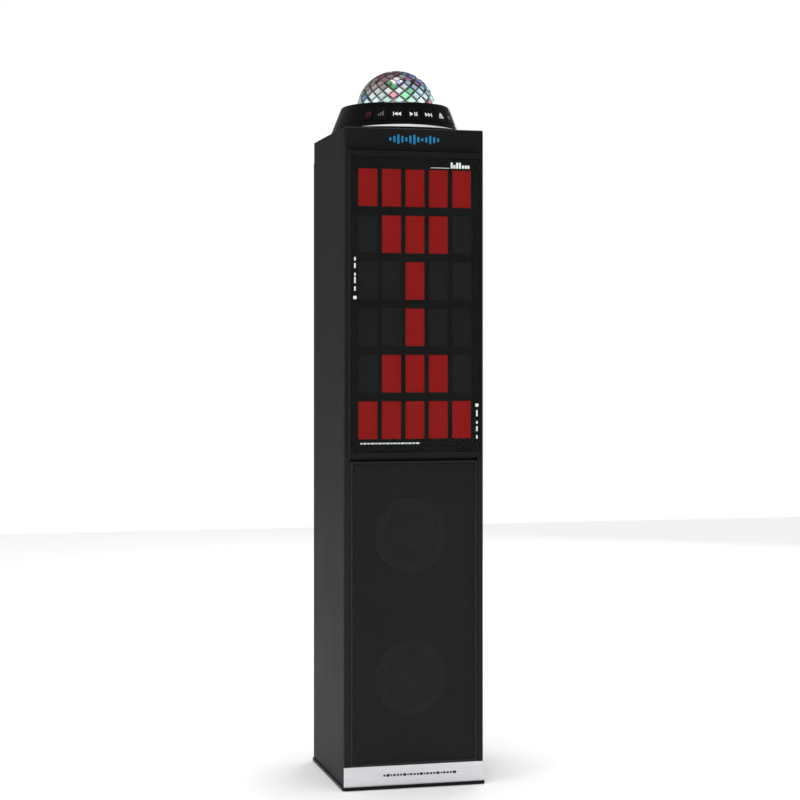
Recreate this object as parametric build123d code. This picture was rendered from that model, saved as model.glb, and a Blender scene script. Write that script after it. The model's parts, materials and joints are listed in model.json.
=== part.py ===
from build123d import *
import math
import os

os.makedirs("parts", exist_ok=True)

# Light-show speaker tower. Millimetres, +Z up, origin on the floor under the middle of the cabinet.
# The front faces -Y, and +X is on the right of someone who looks at the front.

# Cabinet
body_width = 203.0
body_depth = 212.0
body_height = 930.0
board = 9.0
edge_round = 3.0

# Base
foot_height = 1.0
foot_radius = 12.0
foot_inset = 22.0
base_thickness = 4.0
base_flare = 2.0
base_corner = 3.5
kick_height = 27.5
kick_sheet = 1.5
kick_round = 0.9

# Speaker section
speaker_height = 431.0
baffle_board = 12.0
baffle_recess = 17.0
grille_sheet = 1.2
grille_rim = 8.5
grille_setback = 0.5
grille_gap = 0.3
grille_lift = 0.5
seam_gap = 2.5
shelf_lift = 0.5
peg_radius = 4.0
peg_inset_x = 10.5
peg_bottom_inset = 27.7
peg_middle_lift = 9.0
peg_top_inset = 15.3

# Loudspeakers
flange_radius = 52.0
flange_sheet = 2.5
flange_lap = 8.0
flange_screw_inset = 2.9
basket_depth = 28.0
basket_wall = 2.0
basket_lap = 1.0
basket_window = 3.0
cone_radius = 37.0
cone_depth = 16.0
cone_sheet = 0.8
cone_lip = 1.5
cone_neck = 1.4
coil_radius = 14.0
coil_wall = 1.0
coil_setback = 17.4
coil_reach = 6.0
dust_cap_radius = 20.0
dust_cap_height = 7.0
surround_sheet = 0.8
surround_lap = 2.0
surround_foot = 3.3
roll_gap = 0.3
roll_width = 5.4
magnet_radius = 30.0
magnet_depth = 14.0
magnet_gap_inside = 2.0
magnet_gap_outside = 1.0
magnet_gap_depth = 10.0
upper_driver_rise = 321.4
lower_driver_rise = 120.3
driver_clearance = 0.4

# Display section
display_side_margin = 4.5
display_proud = 12.0
display_tray_depth = 3.5
display_top_gap = 2.0
display_edge = 0.8
display_tray_gap = 0.5
window_sheet = 2.0
window_setback = 0.5
window_side_margin = 3.5
window_end_margin = 10.5
window_gap = 0.3
window_corner = 1.0
window_ledge = 2.0
split_gap = 0.6
cavity_wall = 5.6
display_screw_inset = 1.9
display_screw_rise = 12.0
middle_screw_rise = 20.0
bar_half = 3.0
light_columns = 5
light_rows = 6
light_width = 27.4
light_height = 52.6
light_depth = 6.5
light_pitch_x = 34.1
light_pitch_z = 65.3
light_rise = 1.0
light_round = 0.8
light_clearance = 0.15
grid_setback = 7.5
grid_gap = 0.3
grid_middle_gap = 0.4
lens_setback = 0.5
board_sheet = 1.6
board_gap = 1.0
board_end_lap = 5.0
board_middle_lap = 0.1
shelf_setback = 0.9
led_size = 5.0
led_height = 0.8

# Cap
cap_height = 31.5
cap_wall = 2.5
cap_edge = 2.0

# Control pod
pod_base_radius = 96.5
pod_top_radius = 80.2
pod_height = 41.0
pod_wall = 2.5
pod_shoulder = 3.0
button_count = 7
button_pitch = 15.2
button_turn = 2.2
button_width = 20.4
button_height = 21.0
button_rise = 23.3
button_skin = 2.2
button_proud = 0.6
button_gap = 0.4
button_stem = 7.0
button_stem_depth = 5.0
button_stem_lap = 1.0
button_travel = 1.0
button_board_margin = 7.0
button_board_rise = 33.3
switch_size = 6.0
switch_height = 1.7
switch_gap = 0.3
trim_half_angle = 46.0
trim_rise = 5.6
trim_half_height = 1.8
trim_proud = 0.7
trim_depth = 0.8
trim_clearance = 0.15

# Dome and its drive
dome_radius = 58.0
dome_wall = 2.5
dome_centre_rise = 38.0
dome_skirt = 9.8
bezel_gap = 1.0
bezel_radius = 66.0
bezel_lip = 1.2
bezel_spigot = 5.0
bezel_fit = 0.2
bezel_land = 3.0
gear_module = 1.5
gear_teeth = 56
pinion_teeth = 14
gear_face = 4.0
gear_flange = 2.0
gear_flange_inset = 0.5
gear_backlash = 0.35
gear_end_gap = 0.3
pressure_angle = 20.0
tooth_addendum = 0.9
tooth_dedendum = 1.2
spindle_radius = 7.92
spindle_clearance = 0.08
spindle_shoulder = 12.0
spindle_foot_radius = 20.0
spindle_foot_height = 4.0
cable_hole_radius = 4.0
light_board_radius = 26.0
light_board_gap = 2.8
emitter_radius = 5.0
emitter_ring = 15.0
emitters = 3
motor_radius = 12.0
motor_gap = 1.5
motor_edge = 1.0
shaft_radius = 1.5
shaft_clearance = 0.08
shaft_depth = 8.0
shaft_end_gap = 1.0

# Rear plate and what it carries
plate_half_width = 72.0
plate_bottom = 540.0
plate_height = 200.0
plate_sheet = 2.0
plate_lap = 8.0
plate_corner = 3.0
knob_row_rise = 160.0
jack_row_rise = 110.0
mains_row_rise = 45.0
control_pitch = 40.0
mains_offset = 30.0
knob_radius = 9.0
knob_height = 9.5
knob_gap = 0.5
knob_grips = 18
grip_radius = 0.9
grip_start = 1.5
knob_edge = 1.2
pointer_width = 1.0
pointer_depth = 0.6
pointer_share = 0.6
knob_spindle = 3.0
knob_clearance = 0.08
spindle_end = 8.0
bore_end_gap = 0.5
pot_size = 15.0
pot_gap = 4.0
mic_bore = 3.2
mic_depth = 18.0
mic_bushing = 5.5
mic_body = 14.0
aux_bore = 1.8
aux_depth = 14.0
aux_bushing = 3.5
aux_body = 10.0
bushing_proud = 2.0
body_length = 20.0
hole_gap = 0.1
inlet_width = 24.0
inlet_height = 14.0
inlet_flange = 3.0
inlet_lip = 1.2
inlet_mouth_width = 18.0
inlet_mouth_height = 9.0
inlet_depth = 13.0
inlet_pin_radius = 1.2
inlet_pin_offset = 4.3
inlet_pin_setback = 2.5
rocker_radius = 8.0
rocker_width = 11.0
rocker_pivot_depth = 1.5
rocker_proud = 2.6
rocker_tilt = 7.0
rocker_gap = 0.4
rocker_pin = 1.5
rocker_pin_reach = 1.0
pin_hole_gap = 0.2
housing_wall = 2.0
housing_lip = 1.5
housing_lip_sheet = 0.8
amplifier_depth = 24.0
amplifier_margin = 14.0
standoff_radius = 3.0
standoff_inset = 5.0
fin_count = 6
fin_rise = 8.0
fin_pitch = 5.0
fin_sheet = 1.6
fin_half_width = 8.0
fin_depth = 18.0
join_lap = 0.5

# Screws
screw_shank = 1.3
screw_head = 2.6
screw_head_height = 1.6
screw_length = 8.0
screw_slot = 0.6
screw_slot_reach = 1.3
pilot_gap = 0.05

# Planes that the parts share
half_width = body_width / 2
front = -body_depth / 2
back = body_depth / 2
inner = half_width - board
cabinet_bottom = foot_height + base_thickness
kick_top = cabinet_bottom + kick_height
seam = kick_top + speaker_height
cap_bottom = body_height - cap_height
shelf_front = front + display_tray_depth + board_sheet + shelf_setback
back_face = back - board

divider_bottom = seam - seam_gap + shelf_lift
baffle_front = front + baffle_recess
baffle_back = baffle_front + baffle_board
flange_front = baffle_front - flange_sheet
driver_heights = {"upper": kick_top + upper_driver_rise, "lower": kick_top + lower_driver_rise}
grille_bottom = kick_top + grille_lift
grille_top = seam - seam_gap
grille_face = front + grille_setback
grille_inside = grille_face + grille_sheet
peg_middle = (grille_bottom + grille_top) / 2 + peg_middle_lift
peg_heights = [grille_bottom + peg_bottom_inset, peg_middle, grille_top - peg_top_inset]

display_face = front - display_proud
display_half = half_width - display_side_margin
display_bottom = seam + seam_gap
display_top = cap_bottom - display_top_gap
display_mid = (seam + cap_bottom) / 2
bar_bottom = display_mid - bar_half
bar_top = display_mid + bar_half
window_half = display_half - window_side_margin
window_bottom = seam + window_end_margin
window_top = cap_bottom - window_end_margin
window_face = display_face + window_setback
window_back = window_face + window_sheet
tray_back = front + display_tray_depth
cavity_half = window_half - cavity_wall
grid_face = display_face + grid_setback
light_mid = display_mid + light_rise

pod_shoulder_z = body_height + pod_height
pod_slope = (pod_base_radius - pod_top_radius) / pod_height
pod_lean = math.degrees(math.atan(pod_slope))
dome_centre = body_height + dome_centre_rise
dome_inside = dome_radius - dome_wall
skirt_bottom = dome_centre - dome_skirt
gear_bottom = skirt_bottom - gear_flange - gear_face
gear_pitch_radius = gear_module * gear_teeth / 2
pinion_pitch_radius = gear_module * pinion_teeth / 2
drive_centres = gear_pitch_radius + pinion_pitch_radius
spindle_top = skirt_bottom + light_board_gap

plate_face = back + plate_sheet
plate_top = plate_bottom + plate_height
amplifier_back = back - amplifier_depth
knob_names = {"echo_knob": -control_pitch, "microphone_knob": 0.0, "volume_knob": control_pitch}
knob_z = plate_bottom + knob_row_rise
jack_z = plate_bottom + jack_row_rise
mains_z = plate_bottom + mains_row_rise
rocker_pivot = plate_face - rocker_pivot_depth


def save(name, shape):
    """Write one named piece, or a group of like pieces, to its own file."""
    if isinstance(shape, (list, ShapeList)):
        shape = Compound(children=list(shape))
    export_step(shape, f"parts/{name}.step")


def block(x0, x1, y0, y1, z0, z1):
    """Box between two opposite corners."""
    middle = Pos((x0 + x1) / 2, (y0 + y1) / 2, (z0 + z1) / 2)
    return middle * Box(x1 - x0, y1 - y0, z1 - z0)


def rod_y(radius, y0, y1, x=0.0, z=0.0):
    """Round bar that lies along Y."""
    return Pos(x, (y0 + y1) / 2, z) * Rot(90, 0, 0) * Cylinder(radius, y1 - y0)


def rod_z(radius, z0, z1, x=0.0, y=0.0):
    """Upright round bar."""
    return Pos(x, y, (z0 + z1) / 2) * Cylinder(radius, z1 - z0)


def turned_y(outline, z):
    """Solid turned about an axis along Y at height z, from an outline of (radius, y)."""
    return Pos(0, 0, z) * revolve(make_face(outline), Axis.Y)


def turned_z(points, arc=360.0):
    """Solid turned about the upright axis from corner points of (radius, z)."""
    section = Plane.XZ * make_face(Polyline(*points, close=True))
    return revolve(section, Axis.Z, arc)


def upright_edges(shape, x_sign, y_sign):
    """The upright edges of a shape on one corner of the cabinet."""
    edges = shape.edges().filter_by(Axis.Z)
    edges = edges.filter_by(lambda e: x_sign * e.center().X > half_width - 0.1)
    return edges.filter_by(lambda e: y_sign * e.center().Y > back - 0.1)


# ---------------------------------------------------------------- cabinet


def make_side_panel(side):
    """Full-height side board, notched at its foot for the kick plate."""
    x0, x1 = sorted((side * inner, side * half_width))
    panel = block(x0, x1, front, back, cabinet_bottom, cap_bottom)
    panel = fillet(upright_edges(panel, side, -1), edge_round)
    return panel - block(x0 - 1, x1 + 1, front - 1, front + kick_sheet, cabinet_bottom - 1, kick_top)


def make_back_panel():
    """Back board between the sides, with the opening for the amplifier."""
    panel = block(-inner, inner, back_face, back, cabinet_bottom, cap_bottom)
    hole_half = plate_half_width - plate_lap
    hole_bottom = plate_bottom + plate_lap
    hole_top = plate_top - plate_lap
    panel -= block(-hole_half, hole_half, back_face - 1, back + 1, hole_bottom, hole_top)
    for x, z in plate_screw_places():
        panel -= rod_y(screw_shank + pilot_gap, plate_face - screw_length, back + 1, x, z)
    return panel


def make_shelf(bottom, y_front):
    """Board that lies between the two sides."""
    return block(-inner, inner, y_front, back_face, bottom, bottom + board)


def make_baffle():
    """Board that the loudspeakers are screwed to."""
    baffle = block(-inner, inner, baffle_front, baffle_back, cabinet_bottom + board, divider_bottom)
    for z in driver_heights.values():
        baffle -= rod_y(flange_radius - flange_lap, baffle_front - 1, baffle_back + 1, 0, z)
    for x, z in driver_screw_places():
        baffle -= rod_y(screw_shank + pilot_gap, baffle_front - 1, flange_front + screw_length, x, z)
    return baffle


def make_base_plate():
    """Thin plate that stands out a little all round under the cabinet."""
    width = body_width + 2 * base_flare
    depth = body_depth + 2 * base_flare
    plate = Pos(0, 0, foot_height + base_thickness / 2) * Box(width, depth, base_thickness)
    return fillet(plate.edges().filter_by(Axis.Z), base_corner)


def make_feet():
    """Four thin rubber pads."""
    x = half_width - foot_inset
    y = back - foot_inset
    corners = [(-x, -y), (x, -y), (x, y), (-x, y)]
    return [rod_z(foot_radius, 0, foot_height, cx, cy) for cx, cy in corners]


def make_kick_plate():
    """Silver strip across the foot of the front."""
    plate = block(-half_width, half_width, front, front + kick_sheet, cabinet_bottom, kick_top)
    edges = upright_edges(plate, -1, -1) + upright_edges(plate, 1, -1)
    return fillet(edges, kick_round)


def make_cap():
    """Hollow top cap, open underneath, with a cable hole in its middle."""
    cap = block(-half_width, half_width, front, back, cap_bottom, body_height)
    cap = fillet(cap.edges().filter_by(Axis.Z), edge_round)
    top_edges = cap.faces().sort_by(Axis.Z)[-1].edges()
    cap = fillet(top_edges, cap_edge)
    cap -= block(
        cap_wall - half_width,
        half_width - cap_wall,
        front + cap_wall,
        back - cap_wall,
        cap_bottom - 1,
        body_height - cap_wall,
    )
    return cap - rod_z(cable_hole_radius, cap_bottom, body_height + 1)


# ---------------------------------------------------------------- speaker section


def make_grille():
    """Sheet metal grille with its rim folded back."""
    half = inner - grille_gap
    tray = block(-half, half, grille_face, grille_face + grille_rim, grille_bottom, grille_top)
    half -= grille_sheet
    return tray - block(
        -half,
        half,
        grille_inside,
        grille_face + grille_rim + 1,
        grille_bottom + grille_sheet,
        grille_top - grille_sheet,
    )


def make_grille_pegs():
    """Pegs on the baffle that the grille is pushed on to."""
    x = inner - peg_inset_x
    return [rod_y(peg_radius, grille_inside, baffle_front, s * x, z) for z in peg_heights for s in (-1, 1)]


def make_basket(z):
    """Pressed basket: flange, tapering wall and the ring that carries the magnet."""
    floor = baffle_front + basket_depth
    throat = flange_radius - flange_lap - driver_clearance
    neck = magnet_radius + basket_lap
    window = coil_radius + basket_window
    points = [
        (flange_radius, flange_front),
        (flange_radius, baffle_front),
        (throat, baffle_front),
        (neck, floor),
        (neck, floor + basket_wall),
        (window, floor + basket_wall),
        (window, floor),
        (neck - basket_wall, floor),
        (throat - basket_wall, baffle_front),
        (throat - basket_wall, flange_front),
    ]
    basket = turned_y(Polyline(*points, close=True), z)
    for x, screw_z in driver_screw_places():
        basket -= rod_y(screw_shank + pilot_gap, flange_front - 1, baffle_front + 1, x, screw_z)
    return basket


def make_magnet(z):
    """Magnet and pole piece, with the ring-shaped gap that the voice coil moves in."""
    face = baffle_front + basket_depth + basket_wall
    gap_floor = face + magnet_gap_depth
    pole = coil_radius - magnet_gap_inside
    gap_outside = coil_radius + magnet_gap_outside
    points = [
        (0, face),
        (pole, face),
        (pole, gap_floor),
        (gap_outside, gap_floor),
        (gap_outside, face),
        (magnet_radius, face),
        (magnet_radius, face + magnet_depth),
        (0, face + magnet_depth),
    ]
    return turned_y(Polyline(*points, close=True), z)


def make_cone(z):
    """Paper cone with its dust cap."""
    root = coil_radius - coil_wall
    lip = cone_radius - cone_lip
    root_front = flange_front + cone_depth
    root_back = root_front + cone_neck
    points = [
        (root, root_front),
        (lip, flange_front),
        (cone_radius, flange_front),
        (cone_radius, flange_front + cone_sheet),
        (root + coil_wall, root_back),
        (root, root_back),
    ]
    cone = turned_y(Polyline(*points, close=True), z)
    cap_share = (lip - dust_cap_radius) / (lip - root)
    cap_edge_y = flange_front + cone_depth * cap_share + cone_sheet / 2
    ball = (dust_cap_radius**2 + dust_cap_height**2) / (2 * dust_cap_height)
    centre = cap_edge_y - dust_cap_height + ball
    shell = Sphere(ball) - Sphere(ball - cone_sheet)
    keep = rod_y(ball, -ball, dust_cap_height - ball)
    return cone + Pos(0, centre, z) * (shell & keep)


def make_surround(z):
    """Rubber half-roll between the cone and the basket."""
    sheet = surround_sheet
    roll_in = cone_radius + roll_gap
    roll_out = roll_in + roll_width
    foot_in = cone_radius - surround_lap
    foot_out = roll_out + surround_foot
    top = flange_front - sheet
    middle = (roll_in + roll_out) / 2
    crown = top - roll_width / 2
    start = (roll_in + sheet, flange_front)
    end = (roll_out - sheet, flange_front)
    outline = [
        Line((foot_out, flange_front), (foot_out, top)),
        Line((foot_out, top), (roll_out, top)),
        ThreePointArc((roll_out, top), (middle, crown), (roll_in, top)),
        Line((roll_in, top), (foot_in, top)),
        Line((foot_in, top), (foot_in, flange_front)),
        Line((foot_in, flange_front), start),
        ThreePointArc(start, (middle, crown + sheet), end),
        Line(end, (foot_out, flange_front)),
    ]
    return turned_y(outline, z)


def make_voice_coil(z):
    """Coil tube that stands in the magnet's gap."""
    y0 = flange_front + coil_setback
    y1 = baffle_front + basket_depth + basket_wall + coil_reach
    return rod_y(coil_radius, y0, y1, 0, z) - rod_y(coil_radius - coil_wall, y0 - 1, y1 + 1, 0, z)


# ---------------------------------------------------------------- display section


def make_display_frame():
    """Housing that stands proud of the cabinet and holds the two windows."""
    frame = block(-display_half, display_half, display_face, front, display_bottom, display_top)
    outer_edges = frame.edges().filter_by(Axis.Z).filter_by(lambda e: e.center().Y < front - 1)
    frame = fillet(outer_edges, display_edge)
    tray = inner - display_tray_gap
    lift = display_tray_depth + display_tray_gap
    frame += block(-tray, tray, front, tray_back, display_bottom + lift, display_top - lift)
    low = window_bottom + window_ledge
    high = window_top - window_ledge
    cavity = block(-cavity_half, cavity_half, display_face - 1, tray_back + 1, low, high)
    bar = block(-cavity_half, cavity_half, window_back, grid_face - grid_gap, bar_bottom, bar_top)
    frame -= cavity - bar
    rebate = block(
        -window_half - window_gap,
        window_half + window_gap,
        display_face - 1,
        window_back,
        window_bottom - window_gap,
        window_top + window_gap,
    )
    frame -= rebate
    tip = tray_back + board_sheet - screw_length
    for x, z in display_screw_places():
        frame -= rod_y(screw_shank + pilot_gap, tip, tray_back + 1, x, z)
    return frame


def make_window(z0, z1):
    """Smoked sheet over one half of the display."""
    window = block(-window_half, window_half, window_face, window_back, z0, z1)
    return fillet(window.edges().filter_by(Axis.Y), window_corner)


def light_places(half):
    """Centres (x, z) of the 15 lights in the upper or lower half of the display."""
    per_half = light_rows // 2
    first = per_half if half == "upper" else 0
    places = []
    for row in range(first, first + per_half):
        z = light_mid + (row - (light_rows - 1) / 2) * light_pitch_z
        for column in range(light_columns):
            places.append(((column - (light_columns - 1) / 2) * light_pitch_x, z))
    return places


def half_limits(half):
    """Lowest and highest z of one half's grid."""
    end = window_ledge + grid_gap
    if half == "upper":
        return display_mid + grid_middle_gap, window_top - end
    return window_bottom + end, display_mid - grid_middle_gap


def make_light_grid(half):
    """Black grid that keeps the light of each block to itself."""
    low, high = half_limits(half)
    side = cavity_half - grid_gap
    grid = block(-side, side, grid_face, tray_back, low, high)
    width = light_width + 2 * light_clearance
    height = light_height + 2 * light_clearance
    for x, z in light_places(half):
        grid -= Pos(x, (grid_face + tray_back) / 2, z) * Box(width, tray_back - grid_face + 2, height)
    return grid


def make_light_lenses(half):
    """Red diffuser blocks, one in each cell of the grid."""
    y = grid_face + lens_setback + light_depth / 2
    lens = Box(light_width, light_depth, light_height)
    front_edges = lens.faces().sort_by(Axis.Y)[0].edges()
    lens = fillet(front_edges, light_round)
    return [Pos(x, y, z) * lens for x, z in light_places(half)]


def make_led_board(half):
    """Circuit board with one LED behind each diffuser."""
    low, high = half_limits(half)
    low -= board_middle_lap if half == "upper" else board_end_lap
    high += board_end_lap if half == "upper" else board_middle_lap
    side = inner - board_gap
    led_board = block(-side, side, tray_back, tray_back + board_sheet, low, high)
    for x, z in light_places(half):
        led_board += Pos(x, tray_back - led_height / 2, z) * Box(led_size, led_height, led_size)
    for x, z in display_screw_places():
        led_board -= rod_y(screw_shank + pilot_gap, tray_back - 1, tray_back + board_sheet + 1, x, z)
    return led_board


# ---------------------------------------------------------------- screws


def display_screw_places():
    """Four screws through each LED board into the display frame."""
    x = cavity_half + display_screw_inset
    ends = [window_bottom + display_screw_rise, window_top - display_screw_rise]
    rows = ends + [display_mid - middle_screw_rise, display_mid + middle_screw_rise]
    return [(s * x, z) for z in rows for s in (-1, 1)]


def driver_screw_places():
    """Four screws round each loudspeaker."""
    offset = (flange_radius - flange_screw_inset) * math.sqrt(0.5)
    corners = [(-offset, -offset), (-offset, offset), (offset, -offset), (offset, offset)]
    return [(x, z + rise) for z in driver_heights.values() for x, rise in corners]


def plate_screw_places():
    """One screw in each corner of the rear plate."""
    x = plate_half_width - plate_lap / 2
    rows = (plate_bottom + plate_lap / 2, plate_top - plate_lap / 2)
    return [(s * x, z) for z in rows for s in (-1, 1)]


def make_screw(x, z, seat, direction):
    """Pan-head screw whose head stands on the plane y = seat; direction is the way that it points."""
    tip = seat + direction * screw_length
    crown = seat - direction * screw_head_height
    shank = rod_y(screw_shank, min(seat, tip), max(seat, tip), x, z)
    head = rod_y(screw_head, min(seat, crown), max(seat, crown), x, z)
    rim = head.edges().filter_by(lambda e: abs(e.center().Y - crown) < 0.01)
    head = fillet(rim, screw_head_height / 2)
    reach = screw_head * screw_slot_reach
    slot = Pos(x, crown, z) * Box(reach, screw_head_height, screw_slot)
    cross = Pos(x, crown, z) * Box(screw_slot, screw_head_height, reach)
    return shank + head - slot - cross


def make_screws():
    """Every visible or serviceable screw, all of one size."""
    board_back = tray_back + board_sheet
    screws = [make_screw(x, z, board_back, -1) for x, z in display_screw_places()]
    screws += [make_screw(x, z, flange_front, 1) for x, z in driver_screw_places()]
    screws += [make_screw(x, z, plate_face, -1) for x, z in plate_screw_places()]
    return screws


# ---------------------------------------------------------------- control pod


def pod_radius(z):
    """Outside radius of the pod's sloping side."""
    return pod_base_radius - pod_slope * (z - body_height)


def pod_skin(depth, proud, z0, z1, arc=360.0):
    """Ring that follows the pod's side, from depth inside it to proud outside it."""
    lean = math.cos(math.radians(pod_lean))
    points = [
        (pod_radius(z0) - depth / lean, z0),
        (pod_radius(z0) + proud / lean, z0),
        (pod_radius(z1) + proud / lean, z1),
        (pod_radius(z1) - depth / lean, z1),
    ]
    return turned_z(points, arc)


def button_plane(index):
    """Plane on the pod's side at one button, its z axis pointing outwards."""
    turn = math.radians((index - (button_count - 1) / 2) * button_pitch + button_turn)
    lean = math.radians(pod_lean)
    z = body_height + button_rise
    radius = pod_radius(z)
    origin = (radius * math.sin(turn), -radius * math.cos(turn), z)
    along = (math.cos(turn), math.sin(turn), 0)
    out = (math.sin(turn) * math.cos(lean), -math.cos(turn) * math.cos(lean), math.sin(lean))
    return Plane(origin=origin, x_dir=along, z_dir=out)


def make_pod_housing():
    """Round sloping shell with the dome opening, the button openings and the trim's groove."""
    top = pod_shoulder_z
    points = [
        (0, body_height),
        (pod_base_radius, body_height),
        (pod_top_radius, top),
        (0, top),
    ]
    pod = turned_z(points)
    rim = pod.edges().filter_by(GeomType.CIRCLE).filter_by(lambda e: e.center().Z > top - 0.01)
    pod = fillet(rim, pod_shoulder)
    inside = [
        (0, body_height - 1),
        (pod_radius(body_height - 1) - pod_wall, body_height - 1),
        (pod_radius(top - pod_wall) - pod_wall, top - pod_wall),
        (0, top - pod_wall),
    ]
    pod -= turned_z(inside)
    pod -= rod_z(dome_radius + bezel_gap + bezel_land, top - pod_wall - 1, top + 1)
    opening = Box(button_width + 2 * button_gap, button_height + 2 * button_gap, 4 * pod_wall)
    for index in range(button_count):
        pod -= button_plane(index) * opening
    groove = pod_skin(trim_depth + trim_clearance, 5.0, body_height, top)
    return pod - (trim_blade(trim_clearance) & groove)


def trim_blade(extra):
    """Lens-shaped prism, pointed at both ends, that cuts the trim out of the pod's skin."""
    z = body_height + trim_rise
    reach = pod_radius(z) * math.sin(math.radians(trim_half_angle)) + extra
    rise = trim_half_height + extra
    outline = [
        ThreePointArc((-reach, z), (0, z + rise), (reach, z)),
        ThreePointArc((reach, z), (0, z - rise), (-reach, z)),
    ]
    return extrude(Plane.XZ * make_face(outline), pod_base_radius + 10.0)


def make_trim():
    """Silver crescent under the buttons."""
    return trim_blade(0.0) & pod_skin(trim_depth, trim_proud, body_height, pod_shoulder_z)


def make_button(index):
    """Button whose face follows the pod's side, with the stem that works its switch."""
    place = button_plane(index)
    skin = pod_skin(button_skin, button_proud, body_height, pod_shoulder_z)
    face = (place * Box(button_width, button_height, 4 * pod_wall)) & skin
    stem_length = button_stem_depth - button_stem_lap
    stem = place * Pos(0, 0, -button_stem_lap - stem_length / 2) * Box(button_stem, button_stem, stem_length)
    return face + stem


def make_button_board():
    """Curved board behind the buttons, standing on the cap, with one switch behind each stem."""
    depth = button_stem_depth + button_travel + switch_gap + switch_height
    span = (button_count - 1) * button_pitch + 2 * button_board_margin
    ring = pod_skin(depth + board_sheet, -depth, body_height, body_height + button_board_rise, span)
    ring = Rot(0, 0, button_turn - 90 - span / 2) * ring
    for index in range(button_count):
        switch = Box(switch_size, switch_size, switch_height + board_sheet)
        ring += button_plane(index) * Pos(0, 0, -depth + (switch_height - board_sheet) / 2) * switch
    return ring


# ---------------------------------------------------------------- dome and drive


def make_bezel():
    """Ring that finishes the opening round the dome."""
    bore = dome_radius + bezel_gap
    spigot = bore + bezel_land - bezel_fit
    top = pod_shoulder_z + bezel_lip
    points = [
        (bore, pod_shoulder_z - bezel_spigot),
        (spigot, pod_shoulder_z - bezel_spigot),
        (spigot, pod_shoulder_z),
        (bezel_radius, pod_shoulder_z),
        (bezel_radius - bezel_lip, top),
        (bore, top),
    ]
    return turned_z(points)


def make_crystal_dome():
    """Clear hemisphere on a short skirt."""
    ball = Pos(0, 0, dome_centre) * (Sphere(dome_radius) - Sphere(dome_inside))
    upper = ball & rod_z(dome_radius + 1, dome_centre, dome_centre + dome_radius + 1)
    skirt = rod_z(dome_radius, skirt_bottom, dome_centre)
    skirt -= rod_z(dome_inside, skirt_bottom - 1, dome_centre + 1)
    return upper + skirt


def involute(angle):
    """Involute function of an angle in radians."""
    return math.tan(angle) - angle


def gear_outline(teeth):
    """Closed outline of a spur gear with involute flanks; a tooth is centred on +X."""
    pitch = gear_module * teeth / 2
    pressure = math.radians(pressure_angle)
    base = pitch * math.cos(pressure)
    root = pitch - tooth_dedendum * gear_module
    tip = pitch + tooth_addendum * gear_module
    half_tooth = math.pi / (2 * teeth) - gear_backlash / (4 * pitch)
    radii = sorted({root, max(root, base), pitch, tip})

    def half_angle(radius):
        flank = math.acos(min(1.0, base / radius))
        return half_tooth + involute(pressure) - involute(flank)

    points = []
    for tooth in range(teeth):
        middle = 2 * math.pi * tooth / teeth
        rising = [(radius, middle - half_angle(radius)) for radius in radii]
        falling = [(radius, middle + half_angle(radius)) for radius in reversed(radii)]
        points += [(r * math.cos(a), r * math.sin(a)) for r, a in rising + falling]
    return Polyline(*points, close=True)


def make_dome_gear():
    """Toothed wheel whose flange carries the dome."""
    wheel = Pos(0, 0, gear_bottom) * extrude(make_face(gear_outline(gear_teeth)), gear_face)
    wheel += rod_z(dome_radius - gear_flange_inset, gear_bottom + gear_face, skirt_bottom)
    return wheel - rod_z(spindle_radius + spindle_clearance, gear_bottom - 1, skirt_bottom + 1)


def make_spindle():
    """Hollow post that the dome gear turns on and the lamp cable comes up through."""
    post = rod_z(spindle_foot_radius, body_height, body_height + spindle_foot_height)
    post += rod_z(spindle_shoulder, body_height, gear_bottom - gear_end_gap)
    post += rod_z(spindle_radius, body_height, spindle_top)
    return post - rod_z(cable_hole_radius, body_height - 1, spindle_top + 1)


def make_light_board():
    """Round board with one coloured emitter at each corner of a triangle and one in the middle."""
    light_board = rod_z(light_board_radius, spindle_top, spindle_top + board_sheet)
    top = spindle_top + board_sheet
    places = [(0, 0)]
    for number in range(emitters):
        turn = 2 * math.pi * number / emitters
        places.append((emitter_ring * math.sin(turn), -emitter_ring * math.cos(turn)))
    for x, y in places:
        ball = Pos(x, y, top) * Sphere(emitter_radius)
        light_board += ball & rod_z(emitter_radius + 1, top - board_sheet / 2, top + emitter_radius + 1, x, y)
    return light_board


def make_motor():
    """Can motor that stands on the cap behind the spindle."""
    top = gear_bottom - motor_gap
    motor = rod_z(motor_radius, body_height, top, 0, drive_centres)
    rim = motor.edges().filter_by(GeomType.CIRCLE).filter_by(lambda e: e.center().Z > top - 0.01)
    motor = fillet(rim, motor_edge)
    bore = shaft_radius + shaft_clearance
    return motor - rod_z(bore, top - shaft_depth - shaft_end_gap, top + 1, 0, drive_centres)


def make_pinion():
    """Motor pinion with its shaft; a gap between two teeth faces the dome gear."""
    pinion = extrude(make_face(gear_outline(pinion_teeth)), gear_face - gear_end_gap)
    pinion = Pos(0, drive_centres, gear_bottom) * pinion
    shaft_bottom = gear_bottom - motor_gap - shaft_depth
    return pinion + rod_z(shaft_radius, shaft_bottom, gear_bottom + join_lap, 0, drive_centres)


# ---------------------------------------------------------------- rear plate


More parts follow.
